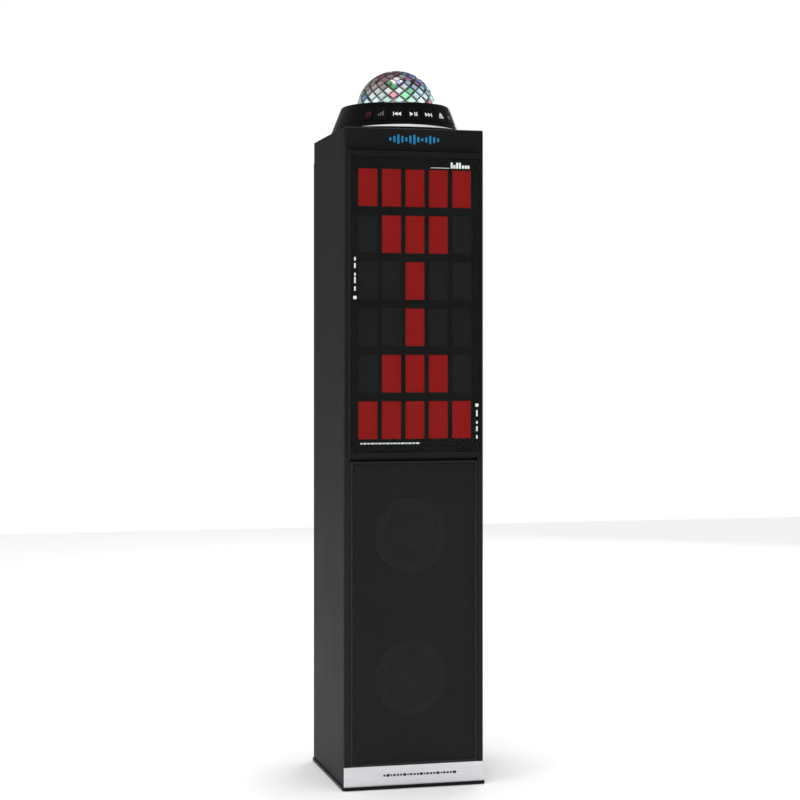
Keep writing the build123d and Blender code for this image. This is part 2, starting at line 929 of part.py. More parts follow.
def make_rear_plate():
    """Metal plate that closes the opening in the back."""
    plate = block(-plate_half_width, plate_half_width, back, plate_face, plate_bottom, plate_top)
    plate = fillet(plate.edges().filter_by(Axis.Y), plate_corner)
    for x in knob_names.values():
        plate -= rod_y(knob_spindle + knob_clearance, back - 1, plate_face + 1, x, knob_z)
    for x in (-control_pitch, 0.0):
        plate -= rod_y(mic_bushing + hole_gap, back - 1, plate_face + 1, x, jack_z)
    plate -= rod_y(aux_bushing + hole_gap, back - 1, plate_face + 1, control_pitch, jack_z)
    inlet_hole = Box(inlet_width + 2 * hole_gap, 3 * plate_sheet, inlet_height + 2 * hole_gap)
    plate -= Pos(-mains_offset, plate_face - plate_sheet / 2, mains_z) * inlet_hole
    height = 2 * (rocker_radius + rocker_gap + housing_wall)
    width = rocker_width + 2 * (rocker_gap + housing_wall)
    switch_hole = Box(width + 2 * hole_gap, 3 * plate_sheet, height + 2 * hole_gap)
    plate -= Pos(mains_offset, plate_face - plate_sheet / 2, mains_z) * switch_hole
    for x, z in plate_screw_places():
        plate -= rod_y(screw_shank + pilot_gap, back - 1, plate_face + 1, x, z)
    return plate


def make_knob(x):
    """Fluted knob with its pointer groove and its spindle."""
    base = plate_face + knob_gap
    top = base + knob_height
    knob = rod_y(knob_radius, base, top, x, knob_z)
    rim = knob.edges().filter_by(GeomType.CIRCLE).filter_by(lambda e: e.center().Y > top - 0.01)
    knob = fillet(rim, knob_edge)
    for grip in range(knob_grips):
        turn = 2 * math.pi * (grip + 0.5) / knob_grips
        gx = x + knob_radius * math.cos(turn)
        gz = knob_z + knob_radius * math.sin(turn)
        knob -= rod_y(grip_radius, base + grip_start, top + 1, gx, gz)
    pointer = knob_radius * pointer_share
    knob -= Pos(x, top, knob_z + pointer) * Box(pointer_width, 2 * pointer_depth, pointer)
    return knob + rod_y(knob_spindle, amplifier_back + spindle_end, base + join_lap, x, knob_z)


def make_jack(x, bore, depth, bushing, body):
    """Jack socket: a body behind the plate and a bushing that comes through it."""
    mouth = plate_face + bushing_proud
    jack = block(x - body / 2, x + body / 2, back - body_length, back, jack_z - body / 2, jack_z + body / 2)
    jack += rod_y(bushing, back - 1, mouth, x, jack_z)
    return jack - rod_y(bore, mouth - depth, mouth + 1, x, jack_z)


def make_jack_sockets():
    """Two microphone sockets and one aux socket."""
    sockets = [make_jack(x, mic_bore, mic_depth, mic_bushing, mic_body) for x in (-control_pitch, 0.0)]
    sockets.append(make_jack(control_pitch, aux_bore, aux_depth, aux_bushing, aux_body))
    return sockets


def make_power_inlet():
    """Two-pin mains inlet."""
    x = -mains_offset
    lip = plate_face + inlet_lip
    half_w = inlet_width / 2
    half_h = inlet_height / 2
    inlet = block(x - half_w, x + half_w, back - body_length, plate_face, mains_z - half_h, mains_z + half_h)
    half_w += inlet_flange
    half_h += inlet_flange
    flange = block(x - half_w, x + half_w, plate_face, lip, mains_z - half_h, mains_z + half_h)
    inlet += fillet(flange.edges().filter_by(Axis.Y), inlet_flange)
    mouth_w = inlet_mouth_width / 2
    mouth_h = inlet_mouth_height / 2
    inlet -= block(x - mouth_w, x + mouth_w, lip - inlet_depth, lip + 1, mains_z - mouth_h, mains_z + mouth_h)
    for side in (-1, 1):
        pin_x = x + side * inlet_pin_offset
        inlet += rod_y(inlet_pin_radius, lip - inlet_depth - 1, lip - inlet_pin_setback, pin_x, mains_z)
    return inlet


def make_rocker_housing():
    """Open box in the plate that the mains rocker tilts in."""
    gap_w = rocker_width / 2 + rocker_gap
    gap_h = rocker_radius + rocker_gap
    out_w = gap_w + housing_wall
    out_h = gap_h + housing_wall
    y0 = rocker_pivot - rocker_radius - rocker_gap - housing_wall
    x = mains_offset
    box = block(x - out_w, x + out_w, y0, plate_face, mains_z - out_h, mains_z + out_h)
    box -= block(x - gap_w, x + gap_w, y0 + housing_wall, plate_face + 1, mains_z - gap_h, mains_z + gap_h)
    lip_w = out_w + housing_lip
    lip_h = out_h + housing_lip
    lip_face = plate_face + housing_lip_sheet
    lip = block(x - lip_w, x + lip_w, plate_face, lip_face, mains_z - lip_h, mains_z + lip_h)
    lip -= block(x - gap_w, x + gap_w, plate_face - 1, plate_face + 2, mains_z - gap_h, mains_z + gap_h)
    box += lip
    hole_length = rocker_width + 2 * (rocker_gap + rocker_pin_reach + pin_hole_gap)
    pin_hole = Rot(0, 90, 0) * Cylinder(rocker_pin + shaft_clearance, hole_length)
    return box - Pos(x, rocker_pivot, mains_z) * pin_hole


def make_rocker():
    """Mains rocker, a disc with a two-slope face, tilted so that its lower half is pressed in."""
    disc = Rot(0, 90, 0) * Cylinder(rocker_radius, rocker_width)
    drop = rocker_radius * math.tan(math.radians(rocker_tilt))
    crown = rocker_proud + rocker_pivot_depth
    reach = rocker_radius + 1
    points = [
        (-reach, -reach),
        (reach, -reach),
        (reach, crown - drop * reach / rocker_radius),
        (0, crown),
        (-reach, crown - drop * reach / rocker_radius),
    ]
    wedge = Plane.YZ * make_face(Polyline(*[(y, z) for z, y in points], close=True))
    rocker = disc & extrude(wedge, rocker_width, both=True)
    rocker += Rot(0, 90, 0) * Cylinder(rocker_pin, rocker_width + 2 * (rocker_gap + rocker_pin_reach))
    return Pos(mains_offset, rocker_pivot, mains_z) * Rot(rocker_tilt, 0, 0) * rocker


def make_amplifier_board():
    """Amplifier board on four posts behind the plate, with the three knob controls and a heat sink."""
    half = plate_half_width - amplifier_margin
    low = plate_bottom + amplifier_margin
    high = plate_top - amplifier_margin
    y1 = amplifier_back + board_sheet
    amplifier = block(-half, half, amplifier_back, y1, low, high)
    post_x = half - standoff_inset
    for z in (low + standoff_inset, high - standoff_inset):
        for x in (-post_x, post_x):
            amplifier += rod_y(standoff_radius, y1 - join_lap, back, x, z)
    half_pot = pot_size / 2
    pot_bottom = knob_z - half_pot
    pot_top = knob_z + half_pot
    bore_end = amplifier_back + spindle_end - bore_end_gap
    for x in knob_names.values():
        bore = rod_y(knob_spindle + knob_clearance, bore_end, back, x, knob_z)
        amplifier += block(x - half_pot, x + half_pot, y1 - join_lap, back - pot_gap, pot_bottom, pot_top)
        amplifier -= bore
    fin_back = amplifier_back - fin_depth
    fin_front = amplifier_back + join_lap
    for fin in range(fin_count):
        z = low + fin_rise + fin * fin_pitch
        amplifier += block(-fin_half_width, fin_half_width, fin_back, fin_front, z, z + fin_sheet)
    return amplifier


# ---------------------------------------------------------------- write every piece


def save_cabinet():
    save("left_side_panel", make_side_panel(-1))
    save("right_side_panel", make_side_panel(1))
    save("back_panel", make_back_panel())
    save("bottom_board", make_shelf(cabinet_bottom, front + kick_sheet))
    save("divider_shelf", make_shelf(divider_bottom, shelf_front))
    save("top_board", make_shelf(cap_bottom - board, shelf_front))
    save("speaker_baffle", make_baffle())
    save("base_plate", make_base_plate())
    save("rubber_feet", make_feet())
    save("kick_plate", make_kick_plate())
    save("top_cap", make_cap())


def save_speakers():
    save("speaker_grille", make_grille())
    save("grille_pegs", make_grille_pegs())
    for name, z in driver_heights.items():
        save(f"{name}_driver_basket", make_basket(z))
        save(f"{name}_driver_magnet", make_magnet(z))
        save(f"{name}_driver_cone", make_cone(z))
        save(f"{name}_driver_surround", make_surround(z))
        save(f"{name}_voice_coil", make_voice_coil(z))


def save_display():
    save("display_frame", make_display_frame())
    save("upper_window", make_window(display_mid + split_gap / 2, window_top))
    save("lower_window", make_window(window_bottom, display_mid - split_gap / 2))
    for half in ("upper", "lower"):
        save(f"{half}_light_grid", make_light_grid(half))
        save(f"{half}_light_lenses", make_light_lenses(half))
        save(f"{half}_led_board", make_led_board(half))
    save("panel_screws", make_screws())


def save_pod():
    save("pod_housing", make_pod_housing())
    save("pod_trim", make_trim())
    for index in range(button_count):
        save(f"button_{index + 1}", make_button(index))
    save("button_board", make_button_board())
    save("dome_bezel", make_bezel())
    save("crystal_dome", make_crystal_dome())
    save("dome_gear", make_dome_gear())
    save("dome_spindle", make_spindle())
    save("light_board", make_light_board())
    save("drive_motor", make_motor())
    save("motor_pinion", make_pinion())


def save_rear():
    save("rear_plate", make_rear_plate())
    for name, x in knob_names.items():
        save(name, make_knob(x))
    save("jack_sockets", make_jack_sockets())
    save("power_inlet", make_power_inlet())
    save("rocker_housing", make_rocker_housing())
    save("power_rocker", make_rocker())
    save("amplifier_board", make_amplifier_board())


save_cabinet()
save_speakers()
save_display()
save_pod()
save_rear()
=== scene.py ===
"""Light-show speaker tower: finishes and fine pieces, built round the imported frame."""

import json
import math
import random

import bmesh
import bpy
from mathutils import Matrix, Vector


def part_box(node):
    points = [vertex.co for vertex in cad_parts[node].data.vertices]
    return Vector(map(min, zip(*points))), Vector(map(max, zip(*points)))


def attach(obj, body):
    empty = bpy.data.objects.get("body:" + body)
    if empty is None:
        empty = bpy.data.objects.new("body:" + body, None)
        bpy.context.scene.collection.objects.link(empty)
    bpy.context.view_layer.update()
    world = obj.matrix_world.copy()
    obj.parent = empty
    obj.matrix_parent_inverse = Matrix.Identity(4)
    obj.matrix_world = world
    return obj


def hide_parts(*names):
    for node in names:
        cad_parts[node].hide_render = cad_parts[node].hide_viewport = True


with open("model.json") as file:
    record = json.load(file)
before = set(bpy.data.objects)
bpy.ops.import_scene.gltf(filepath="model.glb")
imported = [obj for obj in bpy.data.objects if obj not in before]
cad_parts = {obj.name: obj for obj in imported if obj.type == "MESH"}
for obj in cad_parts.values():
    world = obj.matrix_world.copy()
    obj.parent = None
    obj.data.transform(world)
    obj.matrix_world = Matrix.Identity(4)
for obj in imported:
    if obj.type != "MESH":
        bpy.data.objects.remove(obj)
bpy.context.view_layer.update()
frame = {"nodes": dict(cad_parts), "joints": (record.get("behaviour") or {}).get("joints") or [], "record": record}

bl_info = {
    "name": "Speaker tower",
    "version": (1, 0, 0),
    "blender": (4, 5, 0),
    "location": "View3D > Sidebar > Speaker tower",
    "description": "Dresses the packed speaker tower and adds its fine pieces",
    "category": "Object",
}

MM = 0.001

# Pieces that are dressed or marked one by one
BUTTONS = [f"button_{number}" for number in range(1, 8)]
KNOBS = ("echo_knob", "microphone_knob", "volume_knob")
JACK_STROKES = ((-40.0, 9.5), (0.0, 9.5), (40.0, 7.5))

# Symbols: scale, how far they sit below the button's middle, and the two end ones' way inwards (mm)
ICON_SCALE = 1.35
ICON_DROP = 1.0
ICON_SHIFTS = {"button_1": 4.5, "button_7": -4.5}

# Printed marks: painted glow that makes the print brighter than the light falling on it, and the upright dashes on
# the windows
PRINT_PAINTED_GLOW = 0.25
DASH_STEP = 10.5 * MM
DASH_HALF = 1.1 * MM
DASH_ROUND = 0.5 * MM
DOT_HALF = 2.4 * MM
DOT_ROUND = 1.6 * MM

# Dome: facets round each band from its slope in degrees down to the rim, and the shape of one facet
FACET_BANDS = ((45, 20), (22, 14), (6, 7))
FACET_LOWEST = 88
FACET_DEPTH = 2.2 * MM
FACET_SINK = 0.35 * MM
FACET_TABLE = 0.6
FACET_FILL = 0.97
SHELL_WALL = 2.0 * MM
SHELL_SHARE = 0.9

# Panes are this much thinner at the back than the sheets they stand for
PANE_GAP = 0.1 * MM
PANE_CORNER = 1.0 * MM

# Area lights: name, place, target, width, height, power
LIGHTS = (
    ("key", (-2.5, -1.5, 1.5), (0, 0, 0.6), 1.4, 2.0, 22),
    ("front", (-1.3, -3.0, 2.2), (0, 0, 0.6), 1.4, 1.4, 21),
    ("rear", (1.8, 2.6, 1.6), (0, 0, 0.5), 1.6, 1.6, 24),
)


# ---------------------------------------------------------------- settings


def colour_setting(name, description, default):
    """A colour that a user may change."""
    return bpy.props.FloatVectorProperty(
        name=name, description=description, subtype="COLOR", size=3, min=0.0, max=1.0, default=default
    )


def length_setting(name, description, default):
    """A length in metres that a user may change."""
    return bpy.props.FloatProperty(
        name=name, description=description, default=default, min=0.0, unit="LENGTH", subtype="DISTANCE"
    )


class TowerColours(bpy.types.PropertyGroup):
    """Colours of the tower."""

    board: colour_setting("Boards", "Vinyl on the cabinet's boards", (0.014, 0.014, 0.014))
    cap: colour_setting("Cap", "Moulded top cap", (0.0088, 0.0088, 0.0088))
    mesh: colour_setting("Grille", "Powder coat on the grille", (0.024, 0.024, 0.024))
    silver: colour_setting("Silver", "Kick plate", (0.86, 0.87, 0.92))
    lit: colour_setting("Lit blocks", "Light blocks that are on", (0.490, 0.004, 0.004))
    unlit: colour_setting("Unlit blocks", "Light blocks that are off", (0.045, 0.048, 0.045))
    mark: colour_setting("Cap mark", "Row of bars on the cap", (0.008, 0.200, 0.400))
    print_white: colour_setting("Print", "White print on the windows", (0.75, 0.78, 0.77))


class TowerSizes(bpy.types.PropertyGroup):
    """Sizes of the fine pieces."""

    hole_pitch: length_setting("Hole pitch", "Distance between holes in the grille", 0.0032)
    hole_web: length_setting("Hole web", "Metal left between two holes", 0.0010)
    mesh_sheet: length_setting("Mesh sheet", "Thickness of the grille sheet", 0.0010)
    mesh_border: length_setting("Mesh border", "Plain border round the grille", 0.0045)
    facet_row: length_setting("Facet rows", "Distance between two rows of the dome's facets", 0.0075)
    facet_rise: length_setting("Facet rise", "How far each facet stands out of the dome", 0.0016)
    print_height: length_setting("Print height", "Thickness of printed and inlaid marks", 0.0003)


class TowerStage(bpy.types.PropertyGroup):
    """Camera and light."""

    focal: bpy.props.FloatProperty(
        name="Focal length", description="Lens in millimetres", default=86.3, min=1.0
    )
    turn: bpy.props.FloatProperty(
        name="Turn",
        description="Angle of the view from straight ahead",
        default=math.radians(14.04),
        subtype="ANGLE",
    )
    eye: bpy.props.FloatVectorProperty(
        name="Eye",
        description="Where the camera stands",
        size=3,
        subtype="TRANSLATION",
        default=(-0.676, -2.726, 0.606),
    )
    rise: bpy.props.FloatProperty(name="Rise", description="Upward shift of the frame", default=-0.0524)
    overhead: bpy.props.FloatProperty(name="Overhead", description="Strength of the light above", default=2.5)
    room: bpy.props.FloatProperty(name="Room", description="Light that comes from all round", default=0.20)
    backdrop: bpy.props.FloatProperty(name="Backdrop", description="Brightness of the backdrop", default=1.0)
    floor: colour_setting("Floor", "Colour of the floor", (0.92, 0.92, 0.92))


def colours():
    """The tower's colours."""
    return bpy.context.scene.tower_colours


def sizes():
    """Sizes of the fine pieces."""
    return bpy.context.scene.tower_sizes


# ---------------------------------------------------------------- shared shader groups


def link(tree, source, target):
    """Link two sockets."""
    tree.links.new(source, target)


def math_node(tree, operation, first, second=None, third=None):
    """Math node whose inputs are sockets or plain numbers; returns its output."""
    node = tree.nodes.new("ShaderNodeMath")
    node.operation = operation
    for slot, value in enumerate((first, second, third)):
        if value is None:
            continue
        if isinstance(value, (int, float)):
            node.inputs[slot].default_value = value
        else:
            link(tree, value, node.inputs[slot])
    return node.outputs[0]


def mix_colours(tree, share, first, second):
    """Mix by a share socket; the first colour is a socket or a plain colour, the second a socket."""
    node = tree.nodes.new("ShaderNodeMix")
    node.data_type = "RGBA"
    link(tree, share, node.inputs[0])
    if isinstance(first, tuple):
        node.inputs[6].default_value = first
    else:
        link(tree, first, node.inputs[6])
    link(tree, second, node.inputs[7])
    return node.outputs[2]


def new_group(name, inputs, outputs):
    """Empty shader group with named sockets; returns it with its input and output nodes."""
    group = bpy.data.node_groups.new(name, "ShaderNodeTree")
    for label, kind, value in inputs:
        socket = group.interface.new_socket(label, in_out="INPUT", socket_type=kind)
        socket.default_value = value
    for label, kind in outputs:
        group.interface.new_socket(label, in_out="OUTPUT", socket_type=kind)
    return group, group.nodes.new("NodeGroupInput"), group.nodes.new("NodeGroupOutput")


def noise(tree, vector, scale, detail):
    """Noise texture on a vector socket; scale is a socket or a number."""
    node = tree.nodes.new("ShaderNodeTexNoise")
    node.inputs["Detail"].default_value = detail
    link(tree, vector, node.inputs["Vector"])
    if isinstance(scale, (int, float)):
        node.inputs["Scale"].default_value = scale
    else:
        link(tree, scale, node.inputs["Scale"])
    return node.outputs["Fac"]


def build_moulded_surface():
    """Grained surface: fine grain for the bump, and broad patches of tone and gloss."""
    group, given, result = new_group(
        "moulded_surface",
        [
            ("Dark", "NodeSocketColor", (0.01, 0.01, 0.01, 1)),
            ("Light", "NodeSocketColor", (0.02, 0.02, 0.02, 1)),
            ("Grain", "NodeSocketFloat", 1500.0),
            ("Patches", "NodeSocketFloat", 14.0),
            ("Roughness", "NodeSocketFloat", 0.5),
            ("Spread", "NodeSocketFloat", 0.1),
        ],
        [("Colour", "NodeSocketColor"), ("Roughness", "NodeSocketFloat"), ("Height", "NodeSocketFloat")],
    )
    place = group.nodes.new("ShaderNodeTexCoord").outputs["Object"]
    fine = noise(group, place, given.outputs["Grain"], 3.0)
    broad = noise(group, place, given.outputs["Patches"], 4.0)
    tone = math_node(group, "MULTIPLY_ADD", fine, 0.45, math_node(group, "MULTIPLY", broad, 0.55))
    colour = mix_colours(group, tone, given.outputs["Dark"], given.outputs["Light"])
    link(group, colour, result.inputs["Colour"])
    swing = math_node(group, "SUBTRACT", broad, 0.5)
    rough = math_node(group, "MULTIPLY_ADD", swing, given.outputs["Spread"], given.outputs["Roughness"])
    link(group, rough, result.inputs["Roughness"])
    link(group, fine, result.inputs["Height"])
    return group


def build_brushed_surface():
    """Brushed metal: fine lines that run along X."""
    group, given, result = new_group(
        "brushed_surface",
        [
            ("Dark", "NodeSocketColor", (0.6, 0.6, 0.6, 1)),
            ("Light", "NodeSocketColor", (0.8, 0.8, 0.8, 1)),
            ("Lines", "NodeSocketFloat", 900.0),
            ("Roughness", "NodeSocketFloat", 0.3),
        ],
        [("Colour", "NodeSocketColor"), ("Roughness", "NodeSocketFloat"), ("Height", "NodeSocketFloat")],
    )
    place = group.nodes.new("ShaderNodeTexCoord").outputs["Object"]
    stretch = group.nodes.new("ShaderNodeMapping")
    stretch.inputs["Scale"].default_value = (0.02, 1.0, 1.0)
    link(group, place, stretch.inputs["Vector"])
    lines = noise(group, stretch.outputs["Vector"], given.outputs["Lines"], 4.0)
    colour = mix_colours(group, lines, given.outputs["Dark"], given.outputs["Light"])
    link(group, colour, result.inputs["Colour"])
    rough = math_node(group, "MULTIPLY_ADD", lines, 0.12, given.outputs["Roughness"])
    link(group, rough, result.inputs["Roughness"])
    link(group, lines, result.inputs["Height"])
    return group


def build_light_pattern():
    """Hourglass of lit blocks: a column is lit if it is no further out than its row is from the middle."""
    group, given, result = new_group(
        "light_pattern",
        [
            ("Lit", "NodeSocketColor", (0.3, 0, 0, 1)),
            ("Unlit", "NodeSocketColor", (0.02, 0.02, 0.02, 1)),
            ("Column Pitch", "NodeSocketFloat", 0.034),
            ("Row Pitch", "NodeSocketFloat", 0.065),
            ("Middle", "NodeSocketFloat", 0.68),
            ("Dots", "NodeSocketFloat", 0.004),
        ],
        [("Colour", "NodeSocketColor"), ("Glow", "NodeSocketColor"), ("Height", "NodeSocketFloat")],
    )
    place = group.nodes.new("ShaderNodeTexCoord").outputs["Object"]
    parts = group.nodes.new("ShaderNodeSeparateXYZ")
    link(group, place, parts.inputs["Vector"])
    out = math_node(group, "ABSOLUTE", parts.outputs["X"])
    column = math_node(group, "ROUND", math_node(group, "DIVIDE", out, given.outputs["Column Pitch"]))
    above = math_node(group, "SUBTRACT", parts.outputs["Z"], given.outputs["Middle"])
    rise = math_node(group, "ABSOLUTE", above)
    row = math_node(group, "FLOOR", math_node(group, "DIVIDE", rise, given.outputs["Row Pitch"]))
    lit = math_node(group, "LESS_THAN", column, math_node(group, "ADD", row, 0.5))
    soft = noise(group, place, 55.0, 2.0)
    level = math_node(group, "MULTIPLY_ADD", soft, 0.35, 0.82)
    glow_share = math_node(group, "MULTIPLY", lit, level)
    glow = mix_colours(group, glow_share, (0.0, 0.0, 0.0, 1.0), given.outputs["Lit"])
    link(group, glow, result.inputs["Glow"])
    colour = mix_colours(group, lit, given.outputs["Unlit"], given.outputs["Lit"])
    link(group, colour, result.inputs["Colour"])
    dots = group.nodes.new("ShaderNodeTexVoronoi")
    dots.inputs["Randomness"].default_value = 0.0
    link(group, place, dots.inputs["Vector"])
    link(group, math_node(group, "DIVIDE", 1.0, given.outputs["Dots"]), dots.inputs["Scale"])
    link(group, dots.outputs["Distance"], result.inputs["Height"])
    return group


# ---------------------------------------------------------------- materials


def new_material(name, colour, roughness, metallic=0.0, sockets=None):
    """Material with its plain values on the Principled shader's own sockets."""
    material = bpy.data.materials.new(name)
    material.use_nodes = True
    shader = material.node_tree.nodes["Principled BSDF"]
    shader.inputs["Base Color"].default_value = (*colour, 1.0)
    shader.inputs["Roughness"].default_value = roughness
    shader.inputs["Metallic"].default_value = metallic
    for label, value in (sockets or {}).items():
        shader.inputs[label].default_value = value
    return material, shader


def place_group(material, group, values):
    """Group node in a material, with its own values."""
    node = material.node_tree.nodes.new("ShaderNodeGroup")
    node.node_tree = group
    for label, value in values.items():
        node.inputs[label].default_value = value
    return node


def add_bump(material, shader, height, strength, distance):
    """Bump from a height socket."""
    bump = material.node_tree.nodes.new("ShaderNodeBump")
    bump.inputs["Strength"].default_value = strength
    bump.inputs["Distance"].default_value = distance
    link(material.node_tree, height, bump.inputs["Height"])
    link(material.node_tree, bump.outputs["Normal"], shader.inputs["Normal"])


def grained(
    name,
    colour,
    roughness,
    metallic=0.0,
    grain=1500.0,
    patches=14.0,
    bump=0.2,
    contrast=0.35,
    spread=0.12,
    sockets=None,
):
    """Material with the moulded surface group."""
    material, shader = new_material(name, colour, roughness, metallic, sockets)
    node = place_group(
        material,
        bpy.data.node_groups["moulded_surface"],
        {
            "Dark": (*[c * (1 - contrast) for c in colour], 1),
            "Light": (*[min(1.0, c * (1 + contrast)) for c in colour], 1),
            "Grain": grain,
            "Patches": patches,
            "Roughness": roughness,
            "Spread": spread,
        },
    )
    tree = material.node_tree
    link(tree, node.outputs["Colour"], shader.inputs["Base Color"])
    link(tree, node.outputs["Roughness"], shader.inputs["Roughness"])
    add_bump(material, shader, node.outputs["Height"], bump, 0.0004)
    return material


def brushed(name, colour, roughness, lines=900.0, bump=0.12, metallic=1.0):
    """Material with the brushed surface group."""
    material, shader = new_material(name, colour, roughness, metallic)
    node = place_group(
        material,
        bpy.data.node_groups["brushed_surface"],
        {
            "Dark": (*[c * 0.82 for c in colour], 1),
            "Light": (*[min(1.0, c * 1.12) for c in colour], 1),
            "Lines": lines,
            "Roughness": roughness,
        },
    )
    tree = material.node_tree
    link(tree, node.outputs["Colour"], shader.inputs["Base Color"])
    link(tree, node.outputs["Roughness"], shader.inputs["Roughness"])
    add_bump(material, shader, node.outputs["Height"], bump, 0.0003)
    return material


def glowing(name, colour, glow, roughness=0.35):
    """Printed or backlit mark: grained colour that also gives a little light; on the printed marks this glow is
    painted light.
    """
    material = grained(name, colour, roughness, grain=2500.0, bump=0.05, contrast=0.12)
    shader = material.node_tree.nodes["Principled BSDF"]
    shader.inputs["Emission Color"].default_value = (*colour, 1)
    shader.inputs["Emission Strength"].default_value = glow
    return material


def light_block_material():
    """Diffuser blocks: lit ones glow red, unlit ones are smoky."""
    low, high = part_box("upper_light_lenses")
    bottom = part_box("lower_light_lenses")[0]
    block_w, block_h = block_size()
    gloss = {"Emission Strength": 1.0, "Specular IOR Level": 0.2}
    material, shader = new_material("light_blocks", colours().lit, 0.4, sockets=gloss)
    node = place_group(
        material,
        bpy.data.node_groups["light_pattern"],
        {
            "Lit": (*colours().lit, 1),
            "Unlit": (*colours().unlit, 1),
            "Column Pitch": (high.x - low.x - block_w) / 4,
            "Row Pitch": (high.z - bottom.z - block_h) / 5,
            "Middle": (high.z + bottom.z) / 2,
        },
    )
    tree = material.node_tree
    link(tree, node.outputs["Colour"], shader.inputs["Base Color"])
    link(tree, node.outputs["Glow"], shader.inputs["Emission Color"])
    add_bump(material, shader, node.outputs["Height"], 0.25, 0.0006)
    return material


def block_size():
    """Width and height of one light block, read from the corners of the first block."""
    mesh = frame["nodes"]["upper_light_lenses"].data
    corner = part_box("upper_light_lenses")[0]
    reach_x = corner.x + 30.0 * MM
    reach_z = corner.z + 58.0 * MM
    near = [v.co for v in mesh.vertices if v.co.x < reach_x and v.co.z < reach_z]
    return max(c.x for c in near) - corner.x, max(c.z for c in near) - corner.z


def window_material():
    """Smoked acrylic sheet that lets the red blocks show."""
    return grained(
        "smoked_acrylic",
        (0.016, 0.018, 0.017),
        0.14,
        grain=300.0,
        bump=0.02,
        spread=0.06,
        sockets={"Alpha": 0.40, "Specular IOR Level": 0.12},
    )


MATERIALS = {}


def build_materials():
    """Every finish, by the record's slot name."""
    c = colours()
    dull = {"Specular IOR Level": 0.16}
    satin = {"Specular IOR Level": 0.22}
    MATERIALS.update(
        black_board=grained(
            "vinyl_board", c.board, 0.6, grain=1100.0, bump=0.35, contrast=0.22, sockets=dull
        ),
        base_metal=grained(
            "base_enamel",
            (0.002, 0.002, 0.002),
            0.45,
            grain=2200.0,
            bump=0.12,
            sockets={"Specular IOR Level": 0.2},
        ),
        foot_rubber=grained("foot_rubber", (0.02, 0.02, 0.02), 0.85, grain=900.0, bump=0.4),
        # The kick plate's silver is its own colour, but made lighter and only half metallic to show the brightness
        # of a reflection: part painted reflection.
        silver_metal=brushed("brushed_silver", c.silver, 0.32, metallic=0.55),
        cap_plastic=grained("cap_moulding", c.cap, 0.5, grain=1600.0, bump=0.3, sockets=dull),
        grille_metal=grained(
            "grille_coat", c.mesh, 0.6, grain=2600.0, bump=0.25, sockets={"Specular IOR Level": 0.25}
        ),
        moulded_black=grained(
            "moulded_black", (0.0085, 0.0085, 0.0085), 0.5, grain=1700.0, bump=0.05, sockets=dull
        ),
        smoked_window=window_material(),
        screw_steel=grained("black_oxide", (0.03, 0.03, 0.032), 0.35, 0.9, grain=3000.0, bump=0.15),
        gloss_black=grained(
            "piano_black",
            (0.0022, 0.0022, 0.0024),
            0.12,
            grain=220.0,
            bump=0.01,
            spread=0.05,
            sockets=satin,
        ),
        # The chrome trim ring is near-white and not metallic: the bright reflection of chrome is painted into its
        # colour.
        silver_trim=brushed("silver_trim", (0.97, 0.97, 0.98), 0.25, lines=1400.0, bump=0.03, metallic=0.0),
        circuit_board=grained("solder_mask", (0.012, 0.085, 0.035), 0.35, grain=700.0, bump=0.3),
        clear_dome=grained("clear_dome", (0.85, 0.9, 0.95), 0.1, sockets={"Transmission Weight": 0.8}),
        gear_plastic=grained(
            "natural_plastic", (0.72, 0.70, 0.63), 0.45, grain=900.0, bump=0.1, contrast=0.08
        ),
        motor_steel=brushed("motor_can", (0.62, 0.62, 0.62), 0.28),
        plate_metal=grained("plate_enamel", (0.014, 0.014, 0.015), 0.4, 0.2, grain=2000.0, bump=0.2),
        knob_plastic=grained("knob_plastic", (0.013, 0.013, 0.013), 0.38, grain=1800.0, bump=0.2),
        socket_plastic=grained("socket_plastic", (0.010, 0.010, 0.010), 0.5, grain=1500.0, bump=0.2),
        rocker_plastic=grained(
            "rocker_red", (0.33, 0.008, 0.008), 0.28, grain=1200.0, bump=0.05, contrast=0.12
        ),
        basket_steel=grained("basket_enamel", (0.022, 0.022, 0.023), 0.35, 0.4, grain=1900.0, bump=0.2),
        magnet_ferrite=grained("ferrite", (0.05, 0.05, 0.052), 0.7, 0.2, grain=1300.0, bump=0.4),
        cone_paper=grained("cone_paper", (0.030, 0.030, 0.031), 0.7, grain=800.0, bump=0.6),
        surround_rubber=grained("surround_rubber", (0.016, 0.016, 0.016), 0.5, grain=1400.0, bump=0.2),
        coil_copper=brushed("copper_winding", (0.72, 0.33, 0.14), 0.3),
        red_diffuser=light_block_material(),
        button_plastic=grained(
            "button_gloss",
            (0.0036, 0.0036, 0.004),
            0.16,
            grain=400.0,
            bump=0.01,
            spread=0.05,
            sockets=satin,
        ),
    )


def dress_nodes():
    """Give every CAD node the finish of its slot."""
    for part in frame["record"]["subparts"]:
        mesh = frame["nodes"][part["node"]].data
        mesh.materials.clear()
        mesh.materials.append(MATERIALS[part["material_slot"]])


# ---------------------------------------------------------------- mesh helpers


def new_piece(name, bm, material, body, smooth=None):
    """Finished piece from a bmesh: linked, dressed, riding on its body."""
    bmesh.ops.recalc_face_normals(bm, faces=bm.faces)
    mesh = bpy.data.meshes.new(name)
    bm.to_mesh(mesh)
    bm.free()
    piece = bpy.data.objects.new(name, mesh)
    bpy.context.scene.collection.objects.link(piece)
    mesh.materials.append(material)
    if smooth is not None:
        shade_auto(mesh, smooth)
    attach(piece, body)
    return piece


def shade_auto(mesh, angle):
    """Smooth faces, with edges sharper than the angle left hard."""
    for face in mesh.polygons:
        face.use_smooth = True
    mesh.set_sharp_from_angle(angle=angle)


def bevel(bm, edges, width, segments):
    """Round off edges by a fixed width."""
    bmesh.ops.bevel(
        bm,
        geom=edges,
        offset=width,
        offset_type="OFFSET",
        affect="EDGES",
        segments=segments,
        profile=0.5,
        material=-1,
    )


